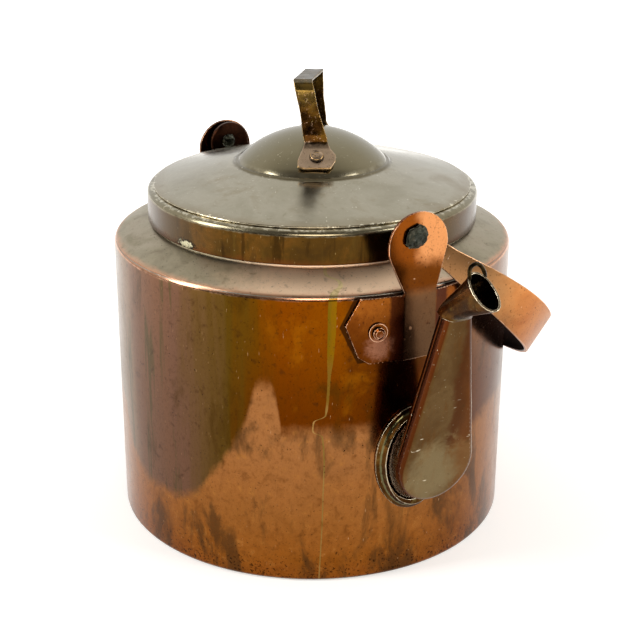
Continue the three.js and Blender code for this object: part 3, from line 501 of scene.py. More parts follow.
# The brazed seam: brass that runs down the wall, wide and greenish towards the top, thin and
# hooked lower down, and kinks across the shoulder. Its way is measured up the sheet in mm.
seam_foot, seam_length = -125.0, 220
up = add(tree, "ShaderNodeMath", {0: level, 1: radius}, operation="SUBTRACT")
up = add(tree, "ShaderNodeMapRange", {0: up, 1: seam_foot, 2: seam_foot + seam_length})
wire = set_points(add(tree, "ShaderNodeFloatCurve", {"Value": up}), [
    (s / seam_length, (30 + a) / 12) for s, a in (
        (0, -26.4), (20, -26), (40, -25.6), (60, -25.4), (80, -25.2), (97, -25.8), (100, -28.2),
        (106, -28), (110, -24.9), (140, -23.9), (160, -23.5), (181, -23.2), (190, -22),
        (196, -20.6), (203, -22.6), (210, -24.6), (216, -23.6))])
off = ragged(tree, 30, (wire, -12))
off = ragged(tree, add(tree, "ShaderNodeMath", {0: off, 1: turned}), (grain, 0.3))
half_width = set_points(add(tree, "ShaderNodeFloatCurve", {"Value": up}), [
    (s / seam_length, width) for s, width in (
        (0, 0.16), (100, 0.18), (110, 0.2), (114, 0.3), (132, 0.4), (148, 0.9), (181, 1.1),
        (190, 0.9), (197, 0.6), (216, 0.5))])
within = add(tree, "ShaderNodeMath", {0: half_width, 1: away(tree, off, 0.15)}, operation="SUBTRACT")
brass = stains(tree, linear("A07C48"),
               (level, 108, 120, 1, "6E521A"), (level, 136, 150, 1, "745206"),
               (run, 0.42, 0.62, 0.7, "564C0C"), (level, 181, 184, 1, "F0DCA4"),
               (small, 0.5, 0.7, 0.5, "6E4A10"))

# The shoulder: a dull grey-brown oxide, rosy where it is rubbed. A pale line along its rounded
# outer edge is rubbed copper and painted highlight together.
top = add(tree, "ShaderNodeMapRange", {0: level, 1: 181, 2: 183.6}, interpolation_type="SMOOTHSTEP")
oxide = set_stops(add(tree, "ShaderNodeValToRGB", {0: patch}), [
    (0.3, "867C66"), (0.46, "9E947C"), (0.58, "A49882"), (0.7, "8E846A")])
scuff = ragged(tree, away(tree, turned, -20), (run, 18))
dull = stains(tree, oxide, (scuff, 50, 24, 0.95, "F6D6B6"), (small, 0.56, 0.74, 0.5, "6E5C42"),
              (grain, 0.6, 0.74, 0.5, "5E4C34"))
# Painted highlight, with rubbed copper, along the shoulder's rounded outer edge.
edge = ragged(tree, away(tree, level, 181.6), (small, 3))
wall = stains(tree, wall, (top, 0, 1, 1, dull), (edge, 3.9, 2, 0.6, "DCA888"),
              (within, -0.1, 0.08, 0.9, brass))

# Dirt and painted shade lie in the corner round each ear plate: a dark band with blunt points,
# 20.8 mm to each side of its middle height and 44.3 mm round the wall to each point.
tip = away(tree, level, 163.5)
plate_corner_dirt_and_shade = ragged(tree, away(tree, y, 0), (tip, 0.45))
plate_corner_dirt_and_shade = add(tree, "ShaderNodeMath", {0: plate_corner_dirt_and_shade, 1: -44.3})
beyond = add(tree, "ShaderNodeMath", {0: tip, 1: -20.8})
plate_corner_dirt_and_shade = add(tree, "ShaderNodeMath", {0: plate_corner_dirt_and_shade, 1: beyond}, operation="MAXIMUM")
plate_corner_dirt_and_shade = ragged(tree, plate_corner_dirt_and_shade, (small, -1.6), (top, 9))
wall = stains(tree, wall, (plate_corner_dirt_and_shade, 1.1, 0.3, 0.85, "1E0E04"))

# Inside, the old tinning: duller and greyer than the copper. So is the oxide on the shoulder.
slope = ragged(tree, level, (radius, shoulder_slope))
below = add(tree, "ShaderNodeMath", {0: slope, 1: shoulder(0) - 0.85}, operation="LESS_THAN")
inside = add(tree, "ShaderNodeMath", {0: radius, 1: 124.1}, operation="LESS_THAN")
inside = add(tree, "ShaderNodeMath", {0: inside, 1: below}, operation="MULTIPLY")
tin = set_stops(add(tree, "ShaderNodeValToRGB", {0: patch}), [
    (0.35, "5E5A52"), (0.5, "8A867C"), (0.68, "75644E")])
wall = stains(tree, wall, (inside, 0, 1, 1, tin))
tree.links.new(wall.outputs[2], under.inputs[6])
roughness = tree.nodes["Principled BSDF"].inputs["Roughness"]
dulled = ragged(tree, roughness.links[0].from_socket, (top, 0.22), (inside, 0.2))
tree.links.new(dulled.outputs[0], roughness)

body_outline = bent_sheet([
    (foot_hole, 0, 0), (wall_radius, 0, 3), (wall_radius, shoulder(wall_radius), 4.5),
    (neck_hole, shoulder(neck_hole), 0.5), (neck_hole, shoulder(neck_hole) - sheet_upright, 0.5),
    (wall_inside, shoulder(wall_inside) - sheet_upright, 3), (wall_inside, sheet, 1.4),
    (foot_hole, sheet, 0), (foot_hole, 0, 0)])
body = turn("body_sheet", body_outline, body_finish, 0.45, 55, (-1, 0, 0), 3)

# Ten strainer holes are drilled behind the spout, in three rows.
hole_radius, hole_pitch, row_pitch, strainer_level = 1.7, 6.4, 8, 77
drill = new_object("strainer_drill")
shape = bmesh.new()
for row, places in ((-1, (-1, 0, 1)), (0, (-1.5, -0.5, 0.5, 1.5)), (1, (-1, 0, 1))):
    for place in places:
        swing = Matrix.Rotation(place * hole_pitch / wall_radius, 4, "Z")
        seat = Matrix.Translation((120 * mm, 0, (strainer_level + row_pitch * row) * mm))
        bmesh.ops.create_cone(
            shape, cap_ends=True, segments=14, radius1=hole_radius * mm, radius2=hole_radius * mm,
            depth=20 * mm, matrix=swing @ seat @ Matrix.Rotation(math.pi / 2, 4, "Y"))
shape.to_mesh(drill.data)
shape.free()
cut = body.modifiers.new("strainer", "BOOLEAN")
cut.object = drill
cut.operation = "DIFFERENCE"
body = made(body, "body_of_copper_sheet")
bpy.data.objects.remove(drill)
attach(body, "kettle")
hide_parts("body_shell")

for name, node, corners, dent, way, seed in (
        ("neck_of_copper_sheet", "neck_ring", [
            (99.6, 188.73, 0), (107.1, 185.7, 0.5), (107.1, 187.32, 0.5), (101.1, 189.75, 1.2),
            (101.1, 211.2, 0.7), (99.6, 211.2, 0.4), (99.6, 188.73, 0)], 0.2, (-1, 0, 0), 4),
        ("bottom_of_copper_sheet", "bottom_pan", [
            (0, 0, 0), (116.9, 0, 1), (118.9, 1.8, 1), (123.2, 1.8, 1.2), (123.2, 4.8, 0.4),
            (121.7, 3.3, 0.4), (118.9, 3.3, 1.4), (116.6, 1.5, 1.4), (0, 1.5, 0)], 0.0, (0, 0, 1), 5)):
    piece = turn(name, bent_sheet(corners), body_finish, dent, 40, way, seed)
    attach(piece, "kettle")
    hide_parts(node)


# Lid: a skirt with a rounded edge, and on its flange a crown that rises to a dome. Both are old
# copper, the crown olive-grey and the skirt brown, and lie in the neck by their own weight.
def stain(tree, under, *layers):
    """Lays stains over a metal's clouds and under its pits."""
    tone = stains(tree, under.inputs[6].links[0].from_socket, *layers)
    tree.links.new(tone.outputs[2], under.inputs[6])


# Copper under an old patina has a soft, even sheen and pale chips. Its rim is rubbed bright, with
# a painted highlight on it, and painted shade darkens the groove at the dome's foot.
lid_finish, tree, under = aged_metal(
    "patinated_copper", [(0.28, "8E8670"), (0.45, "9A937E"), (0.58, "A49D89"), (0.75, "948A72")],
    cloud=34, pits=(1.6, -0.01, "5E4A34"), scratches=(0.01, "CFC8B2"),
    rough=(0.16, 0.27), relief=0.05)
[radius] = measured(tree, "radius")
patch, small, speck, dust = marks(tree, (20, 6, 1), (5, 5, 1), (1.3, 2, 1), (2.4, 3, 1))
# Painted shade in the groove at the dome's foot.
groove_shade = ragged(tree, away(tree, radius, 47.6), (small, 4))
rim = ragged(tree, radius, (patch, 22))
# Painted highlight on the crown's rubbed rim, broken by small patches.
edge = ragged(tree, radius, (small, 16))
stain(tree, under,
      (patch, 0.56, 0.72, 0.5, "8A7C5E"), (small, 0.58, 0.74, 0.4, "7C7052"),
      (radius, 46.5, 44, 0.85, "7C745C"), (groove_shade, 5, 2.8, 0.7, "5A5038"),
      (rim, 100, 110, 0.4, "86765A"), (edge, 107, 108.6, 0.8, "E4DCC4"),
      (speck, 0.7, 0.75, 0.75, "EEE8D4"), (dust, 0.7, 0.78, 0.4, "C8C0A4"))


def from_spot(tree, across, up, centre, squash=(1, 1)):
    """How far a point lies from the centre of a spot, which may be drawn out one way."""
    place = add(tree, "ShaderNodeCombineXYZ", {0: across, 1: up})
    place = add(tree, "ShaderNodeVectorMath", {0: place, 1: (*centre, 0)}, operation="SUBTRACT")
    place = add(tree, "ShaderNodeVectorMath", {0: place, 1: (*squash, 0)}, operation="MULTIPLY")
    return add(tree, "ShaderNodeVectorMath", {0: place}, operation="LENGTH")


# The skirt is browner. Painted reflection of the shoulder below reddens its lower part and darkens
# its bottom edge, and painted reflection greys it on the sides turned away from the camera; its
# rounded top is worn as the crown is, with a painted highlight, and a grey drop of solder is on its
# left.
skirt_finish, tree, under = aged_metal(
    "dark_polished_copper", [(0.3, "32220E"), (0.5, "463010"), (0.62, "583A14"), (0.75, "3A2A14")],
    cloud=22, pits=(1.6, 0.0, "20140C"), scratches=(0.015, "A8905E"),
    rough=(0.18, 0.3), relief=0.06)
level, turned = measured(tree, "level", "turned")
run, patch, small, grain, speck = marks(
    tree, (7, 4, 8), (20, 6, 1), (4, 5, 1), (1.5, 3, 1), (1.2, 2, 1))
# Painted reflection: reddish lower part and a darker bottom edge.
low = ragged(tree, level, (patch, 16))
high = ragged(tree, level, (small, 2.4))
# Painted highlight, broken, on the worn rounded top.
rim_wear_and_highlight = ragged(tree, level, (small, 9))
# Painted reflection: greyer the further the skirt turns from -28 degrees, the side facing the camera.
side = add(tree, "ShaderNodeMapRange", {0: away(tree, turned, -28), 1: 26, 2: 56})
drop = ragged(tree, from_spot(tree, turned, level, (-74.5, 195.6), (0.5, 0.75)), (grain, 6))
stain(tree, under,
      (run, 0.52, 0.68, 0.6, "4E3A16"), (run, 0.46, 0.34, 0.6, "201406"),
      (side, 0, 1, 0.6, "483A28"), (low, 206, 199, 0.6, "5E3216"),
      (low, 201, 197, 0.5, "2C180A"), (speck, 0.72, 0.77, 0.4, "B8A880"),
      (high, 210.6, 212.4, 1, "857D66"), (rim_wear_and_highlight, 217.2, 218.4, 0.6, "E6DEC8"),
      (drop, 5.6, 5, 1, "1C140A"), (drop, 4.7, 3.9, 0.9, "B8B294"))

crown_slope = math.tan(math.radians(13.7))
flange_radius, flange_height, flange_upright = 99.8, 213.36, 1.54
crown_gap, crown_upright = 0.3, 1.235
dome_radius, dome_sheet, dome_centre = 64.64, 1.2, 183.81


def flange(radius):
    """The height of the skirt's sloping flange at a radius."""
    return flange_height + (flange_radius - radius) * crown_slope


def crown_height(radius):
    """The height of the crown's outer face at a radius, where it lies over the flange."""
    return flange(radius) + crown_gap + crown_upright


def dome_arc(radius, edge):
    """Points on a face of the dome, from its top out to its edge."""
    swing = math.asin(edge / radius)
    return [(radius * math.sin(swing * k / 14), dome_centre + radius * math.cos(swing * k / 14), 0)
            for k in range(15)]


skirt = turn("lid_skirt_of_copper", bent_sheet([
    (101.9, 193.06, 0), (103.4, 193.06, 0.6), (103.4, flange_height, 3.55),
    (flange_radius, flange_height, 0), (90.3, flange(90.3), 0.4),
    (90.3, flange(90.3) - flange_upright, 0.4), (101.9, flange(101.9) - flange_upright, 2.1),
    (101.9, 193.06, 0)]), skirt_finish, 0.35, 38, (-1, 0, 0), 8)
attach(skirt, "lid")
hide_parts("lid_skirt")
crown = turn("lid_crown_of_copper", bent_sheet(dome_arc(dome_radius, 45.1) + [
    (46.3, 228.1, 0.8), (47.5, 228.55, 0.9), (48.9, crown_height(48.9), 1.2),
    (99, crown_height(99), 0.55), (99, crown_height(99) - crown_upright, 0.5),
    (47.5, 226.4, 1)] + dome_arc(dome_radius - dome_sheet, 43.9)[::-1], 4.0),
    lid_finish, 0.7, 34, (0, 0, -1), 11)
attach(crown, "lid")
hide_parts("lid_crown")


# Lid handle: a strap of brass-coloured copper, bent over a horn by hand, its two ends flattened
# to feet that follow the dome. Filing and use have rounded every edge.
def worn_copy(name, node, finish, voxel, rounds, dent, spacing, seed=0):
    """A copy of a CAD node with its edges worn round and shallow dents, sizes in mm."""
    piece = new_object(name)
    shape = bmesh.new()
    shape.from_mesh(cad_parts[node].data)
    bmesh.ops.remove_doubles(shape, verts=shape.verts, dist=1e-6)
    shape.to_mesh(piece.data)
    shape.free()
    remesh = piece.modifiers.new("fine", "REMESH")
    remesh.mode = "VOXEL"
    remesh.voxel_size = voxel * mm
    worn = piece.modifiers.new("worn", "SMOOTH")
    worn.factor = 0.5
    worn.iterations = rounds
    piece = made(piece, name)
    outward = [vertex.normal.copy() for vertex in piece.data.vertices]
    for vertex, normal in zip(piece.data.vertices, outward):
        depth = (noise.noise(vertex.co / (spacing * mm) + Vector((seed, 0, 0))) - 1) / 2
        vertex.co += normal * depth * dent * mm
    piece.data.materials.append(finish)
    return piece


# Dark brassy copper, blackened by hands and smoke: darkened in its hollows by dirt and painted
# shade, yellow where it is rubbed and where a highlight is painted on its edges.
handle_finish, tree, under = aged_metal(
    "handled_dark_brass", [(0.3, "201206"), (0.48, "342008"), (0.6, "44300E"), (0.74, "2C2010")],
    cloud=9, pits=(1.4, 0.02, "1C1208"), scratches=(0.03, "E0C890"),
    rough=(0.2, 0.36), relief=0.12)
level, wear_and_shade = measured(tree, "level", "wear_and_shade")
patch, small = marks(tree, (5, 5, 1), (2, 4, 1))
rubbed_and_highlit_edge = add(tree, "ShaderNodeMath", {0: wear_and_shade, 1: small}, operation="MULTIPLY")
uneven = ragged(tree, level, (patch, 10))
# Hollows take dirt and painted shade, and the rubbed edges a painted highlight.
stain(tree, under,
      (uneven, 268, 282, 0.8, "705C2E"), (uneven, 283, 287, 0.85, "524C3C"),
      (uneven, 252, 247, 0.9, "B8A088"), (small, 0.56, 0.7, 0.6, "2A1A0C"),
      (small, 0.42, 0.3, 0.5, "B09078"), (rubbed_and_highlit_edge, 0.1, 0.2, 0.7, "C09A5C"),
      (wear_and_shade, -0.03, -0.16, 0.8, "1A1008"))
handle = worn_copy("lid_handle_of_strap", "lid_handle", handle_finish,
                   voxel=0.42, rounds=4, dent=0.4, spacing=6, seed=2)
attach(handle, "lid")
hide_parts("lid_handle")


# Ears: two copper plates bent round the wall, each with a round head that carries the bail.
# They were cut out with snips and hammered flat, and their edges are worn. Bare copper, redder
# than the wall, brown with soot below. A painted highlight brightens the right of each head and
# its rubbed edges, painted reflection greys the flat middle of the plate, and painted shade darkens
# the bends, the far ear and, with dirt, the hollows.
ear_finish, tree, under = aged_metal(
    "worn_red_copper", [(0.3, "5E2E0A"), (0.46, "784012"), (0.58, "8A4E18"), (0.72, "64360E")],
    cloud=16, pits=(1.5, 0.03, "200E06"), scratches=(0.02, "F0C098"),
    rough=(0.16, 0.3), relief=0.12)
x, y, level, wear_and_shade = measured(tree, "x", "y", "level", "wear_and_shade")
patch, small, pore = marks(tree, (10, 5, 1), (3.5, 5, 1), (1.1, 2, 1))
uneven = ragged(tree, level, (patch, 12))
head = add(tree, "ShaderNodeMapRange", {0: uneven, 1: 199, 2: 210})
# Painted highlight on the right of each head.
bright = add(tree, "ShaderNodeMapRange", {0: ragged(tree, y, (patch, 9)), 1: -2, 2: 7})
bright = add(tree, "ShaderNodeMath", {0: bright, 1: head}, operation="MULTIPLY")
aside = away(tree, y, 0)
# Painted shade along each bend of the plate, 14.5 mm to each side of its middle.
upper = add(tree, "ShaderNodeMapRange", {0: level, 1: 182, 2: 186, 4: 8})
bend = add(tree, "ShaderNodeMath", {0: away(tree, aside, 14.5), 1: upper})
bend = ragged(tree, bend, (small, 3))
rubbed_and_highlit_edge = add(tree, "ShaderNodeMath", {0: wear_and_shade, 1: small}, operation="MULTIPLY")
# Painted reflection greys the plate's flat middle below 186 mm.
low = add(tree, "ShaderNodeMapRange", {0: level, 1: 186, 2: 178})
flat = add(tree, "ShaderNodeMapRange", {0: aside, 1: 11.2, 2: 9.8})
flat = add(tree, "ShaderNodeMath", {0: flat, 1: low}, operation="MULTIPLY")
scuff = ragged(tree, from_spot(tree, aside, level, (25, 151)), (small, 12))
# In these stains x under 0 paints shade on the far ear, and the hollows take dirt and painted shade.
stain(tree, under,
      (uneven, 186, 160, 0.85, "4A2002"), (uneven, 184, 190, 0.9, "522806"),
      (bend, 7, 4.6, 0.85, "34140A"), (flat, 0, 1, 0.85, "503C2A"),
      (head, 0, 1, 0.85, "743A0C"), (bright, 0, 1, 1, "B87A4A"),
      (scuff, 16, 9, 0.7, "8E604A"), (small, 0.58, 0.72, 0.5, "3E1C06"),
      (pore, 0.64, 0.7, 0.8, "2A140A"), (x, 0, -20, 0.8, "3A2010"),
      (rubbed_and_highlit_edge, 0.09, 0.19, 0.75, "D8AC8C"), (wear_and_shade, -0.02, -0.14, 0.9, "1E1008"))
for place, seed in (("front", 4), ("rear", 9)):
    ear = worn_copy(place + "_ear_of_plate", place + "_ear", ear_finish,
                    voxel=0.5, rounds=4, dent=0.5, spacing=14, seed=seed)
    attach(ear, "kettle")
    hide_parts(place + "_ear")


# Bail: one long copper strap, an eye at each end, widening to a broad grip in the middle.
# Bare copper that hands keep bright outside, with pale rubbed edges that carry a painted
# highlight. Its inner face is painted dark as shade, with soot patches darker still, and painted
# shade dulls the arms near the eyes and darkens the rear half.
bail_finish, tree, under = aged_metal(
    "bright_worn_copper", [(0.3, "A05A28"), (0.46, "B4703A"), (0.6, "C07E46"), (0.74, "9C6234")],
    cloud=24, pits=(1.3, 0.03, "3A1E10"), scratches=(0.02, "FFD8B4"),
    rough=(0.24, 0.38), relief=0.12)
side = add(tree, "ShaderNodeAttribute", attribute_name="inner_face").outputs["Fac"]
x, y, wear_and_shade = measured(tree, "x", "y", "wear_and_shade")
soot, small, pore = marks(tree, (14, 5, 1), (3, 5, 1), (1.3, 2, 1))
rubbed_and_highlit_edge = add(tree, "ShaderNodeMath", {0: wear_and_shade, 1: small}, operation="MULTIPLY")
sooty = add(tree, "ShaderNodeMath", {0: side, 1: soot}, operation="MULTIPLY")
# Along the strap: painted shade dulls the arms near the eyes, and it turns duller grey-brown towards
# the grip. Below, x under 0 paints shade on the rear half, and the inner face is painted dark as shade.
near = ragged(tree, y, (soot, 30))
stain(tree, under,
      (near, 92, 58, 0.75, "7E6242"), (near, 34, 16, 0.8, "6A4626"),
      (small, 0.58, 0.74, 0.35, "7E4A28"), (pore, 0.63, 0.69, 0.8, "3E200E"),
      (rubbed_and_highlit_edge, 0.1, 0.2, 0.6, "E8BC98"), (x, 0, -30, 0.8, "3E2416"),
      (side, 0, 1, 1, "3A2014"), (sooty, 0.35, 0.6, 0.8, "160C08"))

# The strap's route in mm: u along the pivots' axis, d away from it in the plane in which the
# bail lies folded. It runs straight from each eye, bows out to its widest, then arches over.
pivot, lean = Vector((0, -1.6, 213)), math.radians(39.5)
plane, bow, eye_end, straight_end, widest, reach = 121.6, 9.7, -12, 16, 74.0, 173.934
thick, narrow, wide, arch, taper_start, taper_length = 2.5, 6.75, 13.5, 2.4, 28, 82
eye_radius, eye_centre, eye_alone, squareness, ring_points = 13.8, 1.8, 9, 0.45, 20
path = [(plane, eye_end + k * (straight_end - eye_end) / 32) for k in range(32)]
path += [(plane + bow * math.sin(math.pi / 2 * k / 30), straight_end + (widest - straight_end) * k / 30)
         for k in range(30)]
path += [((plane + bow) * math.cos(math.pi / 2 * k / 60),
          widest + (reach - widest) * math.sin(math.pi / 2 * k / 60)) for k in range(60)]
path += [(0, reach)] + [(-u, d) for u, d in path[::-1]]


def half_strap(d):
    """Half the strap's width at a distance from the axis: a round eye, then a growing strap."""
    share = min(max((d - taper_start) / taper_length, 0), 1)
    half = narrow + (wide - narrow) * math.sin(share * math.pi / 2)
    if d >= straight_end:
        return half
    eye = math.sqrt(max(eye_radius ** 2 - (d - eye_centre) ** 2, 1.0))
    return eye if d < eye_alone else max(eye, half)


def bail_ring(k):
    """One ring of the strap at a point of its path: a flat section with round edges."""
    u, d = path[k]
    before, after = path[max(k - 1, 0)], path[min(k + 1, len(path) - 1)]
    step = Vector((after[0] - before[0], after[1] - before[1])).normalized()
    across = Vector((0, math.sin(lean), math.cos(lean)))
    off_axis = Vector((0, math.cos(lean), -math.sin(lean)))
    out = Vector((1, 0, 0)) * -step[1] + off_axis * step[0]
    centre = pivot + Vector((u, 0, 0)) + off_axis * d
    half, rise = thick / 2, arch * math.sin(math.pi * max(d, 0) / reach)
    ring = []
    for point in range(ring_points):
        a = math.tau * (point + 0.5) / ring_points
        n = half * math.copysign(abs(math.cos(a)) ** squareness, math.cos(a))
        w = half * math.copysign(abs(math.sin(a)) ** squareness, math.sin(a))
        w = math.copysign(max(half_strap(d) - half, 0) + abs(w), w)
        ring.append((centre + out * n + across * (w + rise)) * mm)
    return ring


bail = new_object("bail_of_copper_strap")
shape = bmesh.new()
loops = [[shape.verts.new(point) for point in bail_ring(k)] for k in range(len(path))]
for one, two in zip(loops, loops[1:]):
    for k in range(ring_points):
        shape.faces.new((one[k - 1], one[k], two[k], two[k - 1]))
shape.faces.new(loops[0])
shape.faces.new(loops[-1][::-1])
bmesh.ops.recalc_face_normals(shape, faces=shape.faces)
shape.to_mesh(bail.data)
shape.free()
bail.data.materials.append(bail_finish)
bail.data.shade_smooth()
mark_wear_and_shade(bail.data)
inner_face = bail.data.attributes.new("inner_face", "FLOAT", "POINT")
for k, value in enumerate(inner_face.data):
    inwards = math.cos(math.tau * (k % ring_points + 0.5) / ring_points)
    value.value = 1.0 if inwards > 0.2 else 0.0
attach(bail, "bail")
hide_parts("bail_strap")


# Spout: a flat-faced shell with a deep bowl, closed behind by a dished plate and brazed to the
# wall through a flared collar. A flared nozzle is slipped over its top and brazed. Its copper is
# a dull olive-brown that smoke and handling left uneven, with painted shade red on its flanks, a
# painted highlight on its right edges, and dirt and painted shade in its hollows.
spout_finish, tree, under = aged_metal(
    "dull_brown_copper", [(0.3, "4A341A"), (0.46, "5E4628"), (0.6, "705836"), (0.74, "4E3A1E")],
    cloud=34, pits=(1.4, 0.0, "1C1208"), scratches=(0.03, "E8DCC0"),
    rough=(0.14, 0.26), relief=0.05)
normal = add(tree, "ShaderNodeTexCoord").outputs["Normal"]
# Colour by facing: painted shade turns the flanks dark red, and faces turned back to the wall are
# painted paler.
facing = add(tree, "ShaderNodeVectorMath", {0: normal, 1: (0.986, 0, -0.167)}, operation="DOT_PRODUCT")
flank_shade = away(tree, facing, 0)
y, level, wear_and_shade = measured(tree, "y", "level", "wear_and_shade")
run, patch, small, speck = marks(tree, (6, 4, 9), (16, 6, 1), (4, 5, 1), (1.2, 2, 1))
right = ragged(tree, y, (patch, 16))
upper = add(tree, "ShaderNodeMapRange", {0: ragged(tree, level, (patch, 40)), 1: 112, 2: 124})
band = add(tree, "ShaderNodeMapRange", {0: right, 1: 9, 2: 14})
band = add(tree, "ShaderNodeMath", {0: band, 1: upper}, operation="MULTIPLY")
foot = from_spot(tree, y, level, (-4, 80), (1, 0.6))
foot = ragged(tree, foot, (patch, 34), (small, 6))
# Painted highlight on the rounded edges on the spout's right.
lit = add(tree, "ShaderNodeMapRange", {0: y, 1: 2, 2: 16})
lit = add(tree, "ShaderNodeMath", {0: wear_and_shade, 1: lit}, operation="MULTIPLY")
# The last layer: dirt and painted shade in the hollows.
stain(tree, under,
      (run, 0.5, 0.68, 0.5, "6A4012"), (band, 0, 1, 0.85, "4E2208"),
      (upper, 0, 1, 0.45, "3C260C"), (right, 14, 24, 0.5, "6A3E1A"),
      (foot, 38, 26, 0.7, "786A4C"), (small, 0.6, 0.74, 0.35, "3E2C14"),
      (flank_shade, 0.97, 0.8, 0.9, "4A2008"), (facing, -0.6, -0.9, 0.9, "8A6644"),
      (speck, 0.72, 0.77, 0.6, "D8CCA8"), (lit, 0.06, 0.2, 0.8, "F0E0CC"),
      (wear_and_shade, -0.02, -0.16, 0.8, "22160A"))

# The nozzle and collar are darker, with bright rims that are rubbed and carry a painted highlight,
# and a trace of grey-green solder.
nozzle_finish, tree, under = aged_metal(
    "browned_copper_with_solder",
    [(0.3, "2C1808"), (0.46, "42280C"), (0.6, "604018"), (0.74, "342610")],
    cloud=12, pits=(1.2, 0.02, "120A04"), scratches=(0.03, "D8C8A0"),
    rough=(0.16, 0.3), relief=0.1)
[wear_and_shade] = measured(tree, "wear_and_shade")
patch, small = marks(tree, (8, 5, 1), (2.5, 5, 1))
stain(tree, under,
      (patch, 0.54, 0.68, 0.6, "6A5A30"), (small, 0.6, 0.74, 0.5, "1E1006"),
      (wear_and_shade, 0.16, 0.34, 0.8, "DCD0B4"), (wear_and_shade, -0.02, -0.14, 0.8, "6E7050"))
for name, node, voxel, rounds, finish in (
        ("spout_front_of_sheet", "spout_front_shell", 0.5, 5, spout_finish),
        ("spout_back_of_sheet", "spout_back_plate", 0.5, 6, spout_finish),
        ("spout_collar_of_sheet", "spout_base_collar", 0.45, 4, nozzle_finish),
        ("spout_nozzle_of_sheet", "spout_nozzle", 0.4, 4, nozzle_finish)):
    piece = worn_copy(name, node, finish, voxel, rounds, dent=0.3, spacing=18, seed=voxel * 20)
    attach(piece, "kettle")
    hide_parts(node)

# The eye over the mouth is brass wire, black with soot and yellow only in its scratches.
eye_finish = aged_metal(
    "blackened_brass_wire", [(0.35, "14100A"), (0.5, "241C0E"), (0.65, "3A2E18")],
    cloud=6, pits=(1.0, 0.0, "0E0A06"), scratches=(0.02, "E0D0A0"),
    rough=(0.25, 0.4), relief=0.1)[0]
eye = worn_copy("mouth_eye_of_wire", "mouth_eye", eye_finish, voxel=0.25, rounds=3, dent=0.2, spacing=3)
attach(eye, "kettle")
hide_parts("mouth_eye")


# Rivets: soft copper ones hammered down over loose washers on the ears, and flatter ones on the
# handle's feet. All are turned forms, set on the sheet and beaten out of true, of the same metal
# and finish as the plate or strap that they hold.
def riveting_tree():
    """Sets a turned form at each point, along its aim, and beats its surface uneven."""
    tree = new_tree(
        "rivets_at_places", ("Places", "Geometry"), ("Outline", "Object"), ("Flats", "Int"),
        ("Beating depth", "Float"), ("Beating spacing", "Float"), ("Seed", "Float"),
        ("Finish", "Material"))
    given = add(tree, "NodeGroupInput").outputs
    outline = add(tree, "GeometryNodeObjectInfo", {0: given["Outline"]}).outputs["Geometry"]
    form = add(tree, "GeometryNodeGroup", {
        "Outline": outline, "Flats": given["Flats"], "Finish": given["Finish"]}, node_tree=turned_sheet)
    aim = add(tree, "GeometryNodeInputNamedAttribute", {0: "aim"}, data_type="FLOAT_VECTOR")
    turn_to = add(tree, "FunctionNodeAlignRotationToVector", {"Vector": aim}, axis="Z")
    set_down = add(tree, "GeometryNodeInstanceOnPoints", {
        "Points": given["Places"], "Instance": form, "Rotation": turn_to})
    real = add(tree, "GeometryNodeRealizeInstances", {0: set_down})
    beaten = add(tree, "ShaderNodeTexNoise", {
        "W": given["Seed"], "Scale": given["Beating spacing"], "Detail": 1.0}, noise_dimensions="4D")
    depth = add(tree, "ShaderNodeMath", {0: beaten, 1: given["Beating depth"]}, operation="MULTIPLY")
    depth = add(tree, "ShaderNodeMath", {0: depth, 1: -1}, operation="MULTIPLY")
    out = add(tree, "GeometryNodeInputNormal")
    push = add(tree, "ShaderNodeVectorMath", {0: out, "Scale": depth}, operation="SCALE")
    uneven = add(tree, "GeometryNodeSetPosition", {"Geometry": real, "Offset": push})
    done = add(tree, "GeometryNodeSetMaterial", {"Geometry": uneven, "Material": given["Finish"]})
    add(tree, "NodeGroupOutput", {0: done})
    return tree


rivets_at_places = riveting_tree()


def rivets(name, places, outline, beating, finish, seed, body, nodes):
    """Like fastenings at places of (point, aim), turned from an outline of (radius, height, bend)."""
    profile = drawn(name, bent_sheet(outline, 0.7))
    start = new_object(name + "_places")
    start.data.from_pydata([Vector(point) * mm for point, aim in places], [], [])
    aims = start.data.attributes.new("aim", "FLOAT_VECTOR", "POINT")
    for value, (point, aim) in zip(aims.data, places):
        value.vector = aim
    give(start, rivets_at_places, {
        "Outline": profile, "Flats": 28, "Beating depth": beating * mm,
        "Beating spacing": 1 / (3.2 * mm), "Seed": seed, "Finish": finish})
    piece = made(start, name)
    bpy.data.objects.remove(profile)
    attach(piece, body)
    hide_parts(*nodes)


def four_of(kind):
    """The names of four like nodes, two to an ear."""
    return [place + "_ear_" + kind + "_" + side for place in ("front", "rear") for side in "ab"]


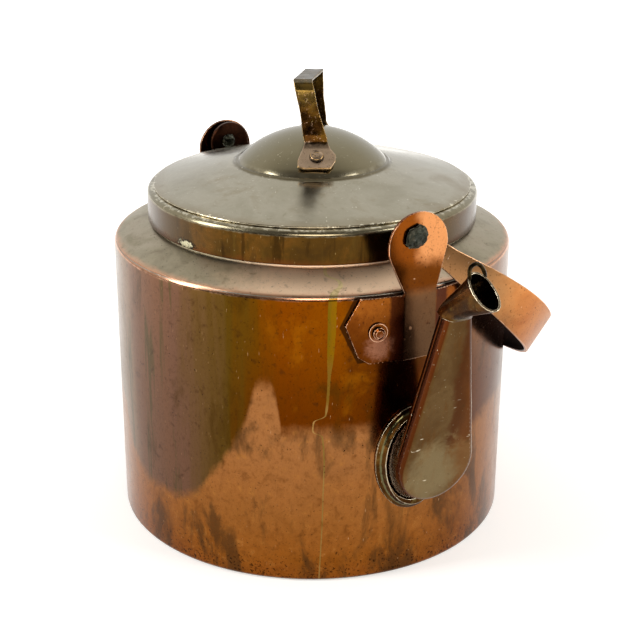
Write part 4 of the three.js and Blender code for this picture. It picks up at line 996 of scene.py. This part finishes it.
ear_rivet_level, swing = 160.4, 25.5 / wall_radius
ear_rivet_places = [((0, 0, ear_rivet_level), (math.cos(a), math.sin(a), 0))
                    for a in (swing, -swing, math.pi + swing, math.pi - swing)]
rivets("ear_washers_of_copper", ear_rivet_places, [
    (1.9, 127.8, 0), (6, 127.8, 0.3), (5.7, 128.7, 0.3), (1.9, 128.7, 0), (1.9, 127.8, 0)],
    0.3, ear_finish, 3, "kettle", four_of("washer"))
rivets("ear_rivets_of_copper", ear_rivet_places, [
    (0, 121.96, 0), (4.1, 121.96, 0.5), (4.1, 123.16, 0.3), (1.6, 123.16, 0), (1.6, 129, 0),
    (4.1, 129, 0.3), (3.9, 130.4, 0.8), (2.3, 131.2, 0.8), (0, 131.2, 0)],
    0.7, ear_finish, 8, "kettle", four_of("rivet"))
foot_angle, foot_aside, seat_radius = math.asin(36.5 / dome_radius), 2.1, dome_radius + 0.3
handle_rivet_places = []
for side in (1, -1):
    spin = Matrix.Rotation(math.radians(-28) + (0 if side > 0 else math.pi), 3, "Z")
    aim = Vector((math.sin(foot_angle), 0, math.cos(foot_angle)))
    seat = aim * seat_radius + Vector((0, side * foot_aside, dome_centre))
    handle_rivet_places.append((spin @ seat, spin @ aim))
rivets("handle_rivets_of_brass", handle_rivet_places, [
    (0, -3.3, 0), (4.1, -3.3, 0.5), (4.1, -2.1, 0.3), (1.6, -2.1, 0), (1.6, 2.5, 0), (4.8, 2.5, 0.3),
    (4.1, 4.2, 0.8), (1.9, 4.7, 0.8), (0, 4.7, 0)],
    0.7, handle_finish, 5, "lid", ["lid_handle_rivet_front", "lid_handle_rivet_rear"])

# The bail's pivots are black iron, riveted over by hand, so that their heads are far from round.
# Iron with old scale is nearly black and rough, and grey only on its rubbed edges.
iron_finish, tree, under = aged_metal(
    "black_iron", [(0.3, "1A1C18"), (0.5, "34362E"), (0.68, "4A463A")],
    cloud=4, pits=(1.0, 0.08, "0E0C08"), scratches=(0.02, "A8A498"),
    rough=(0.25, 0.45), relief=1.0)
[wear_and_shade] = measured(tree, "wear_and_shade")
stain(tree, under, (wear_and_shade, 0.1, 0.4, 0.6, "9C9888"))
for place in ("front", "rear"):
    pivot_rivet = worn_copy(place + "_pivot_of_iron", place + "_pivot_rivet", iron_finish,
                            voxel=0.32, rounds=12, dent=1.8, spacing=2.6, seed=6)
    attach(pivot_rivet, "kettle")
    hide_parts(place + "_pivot_rivet")
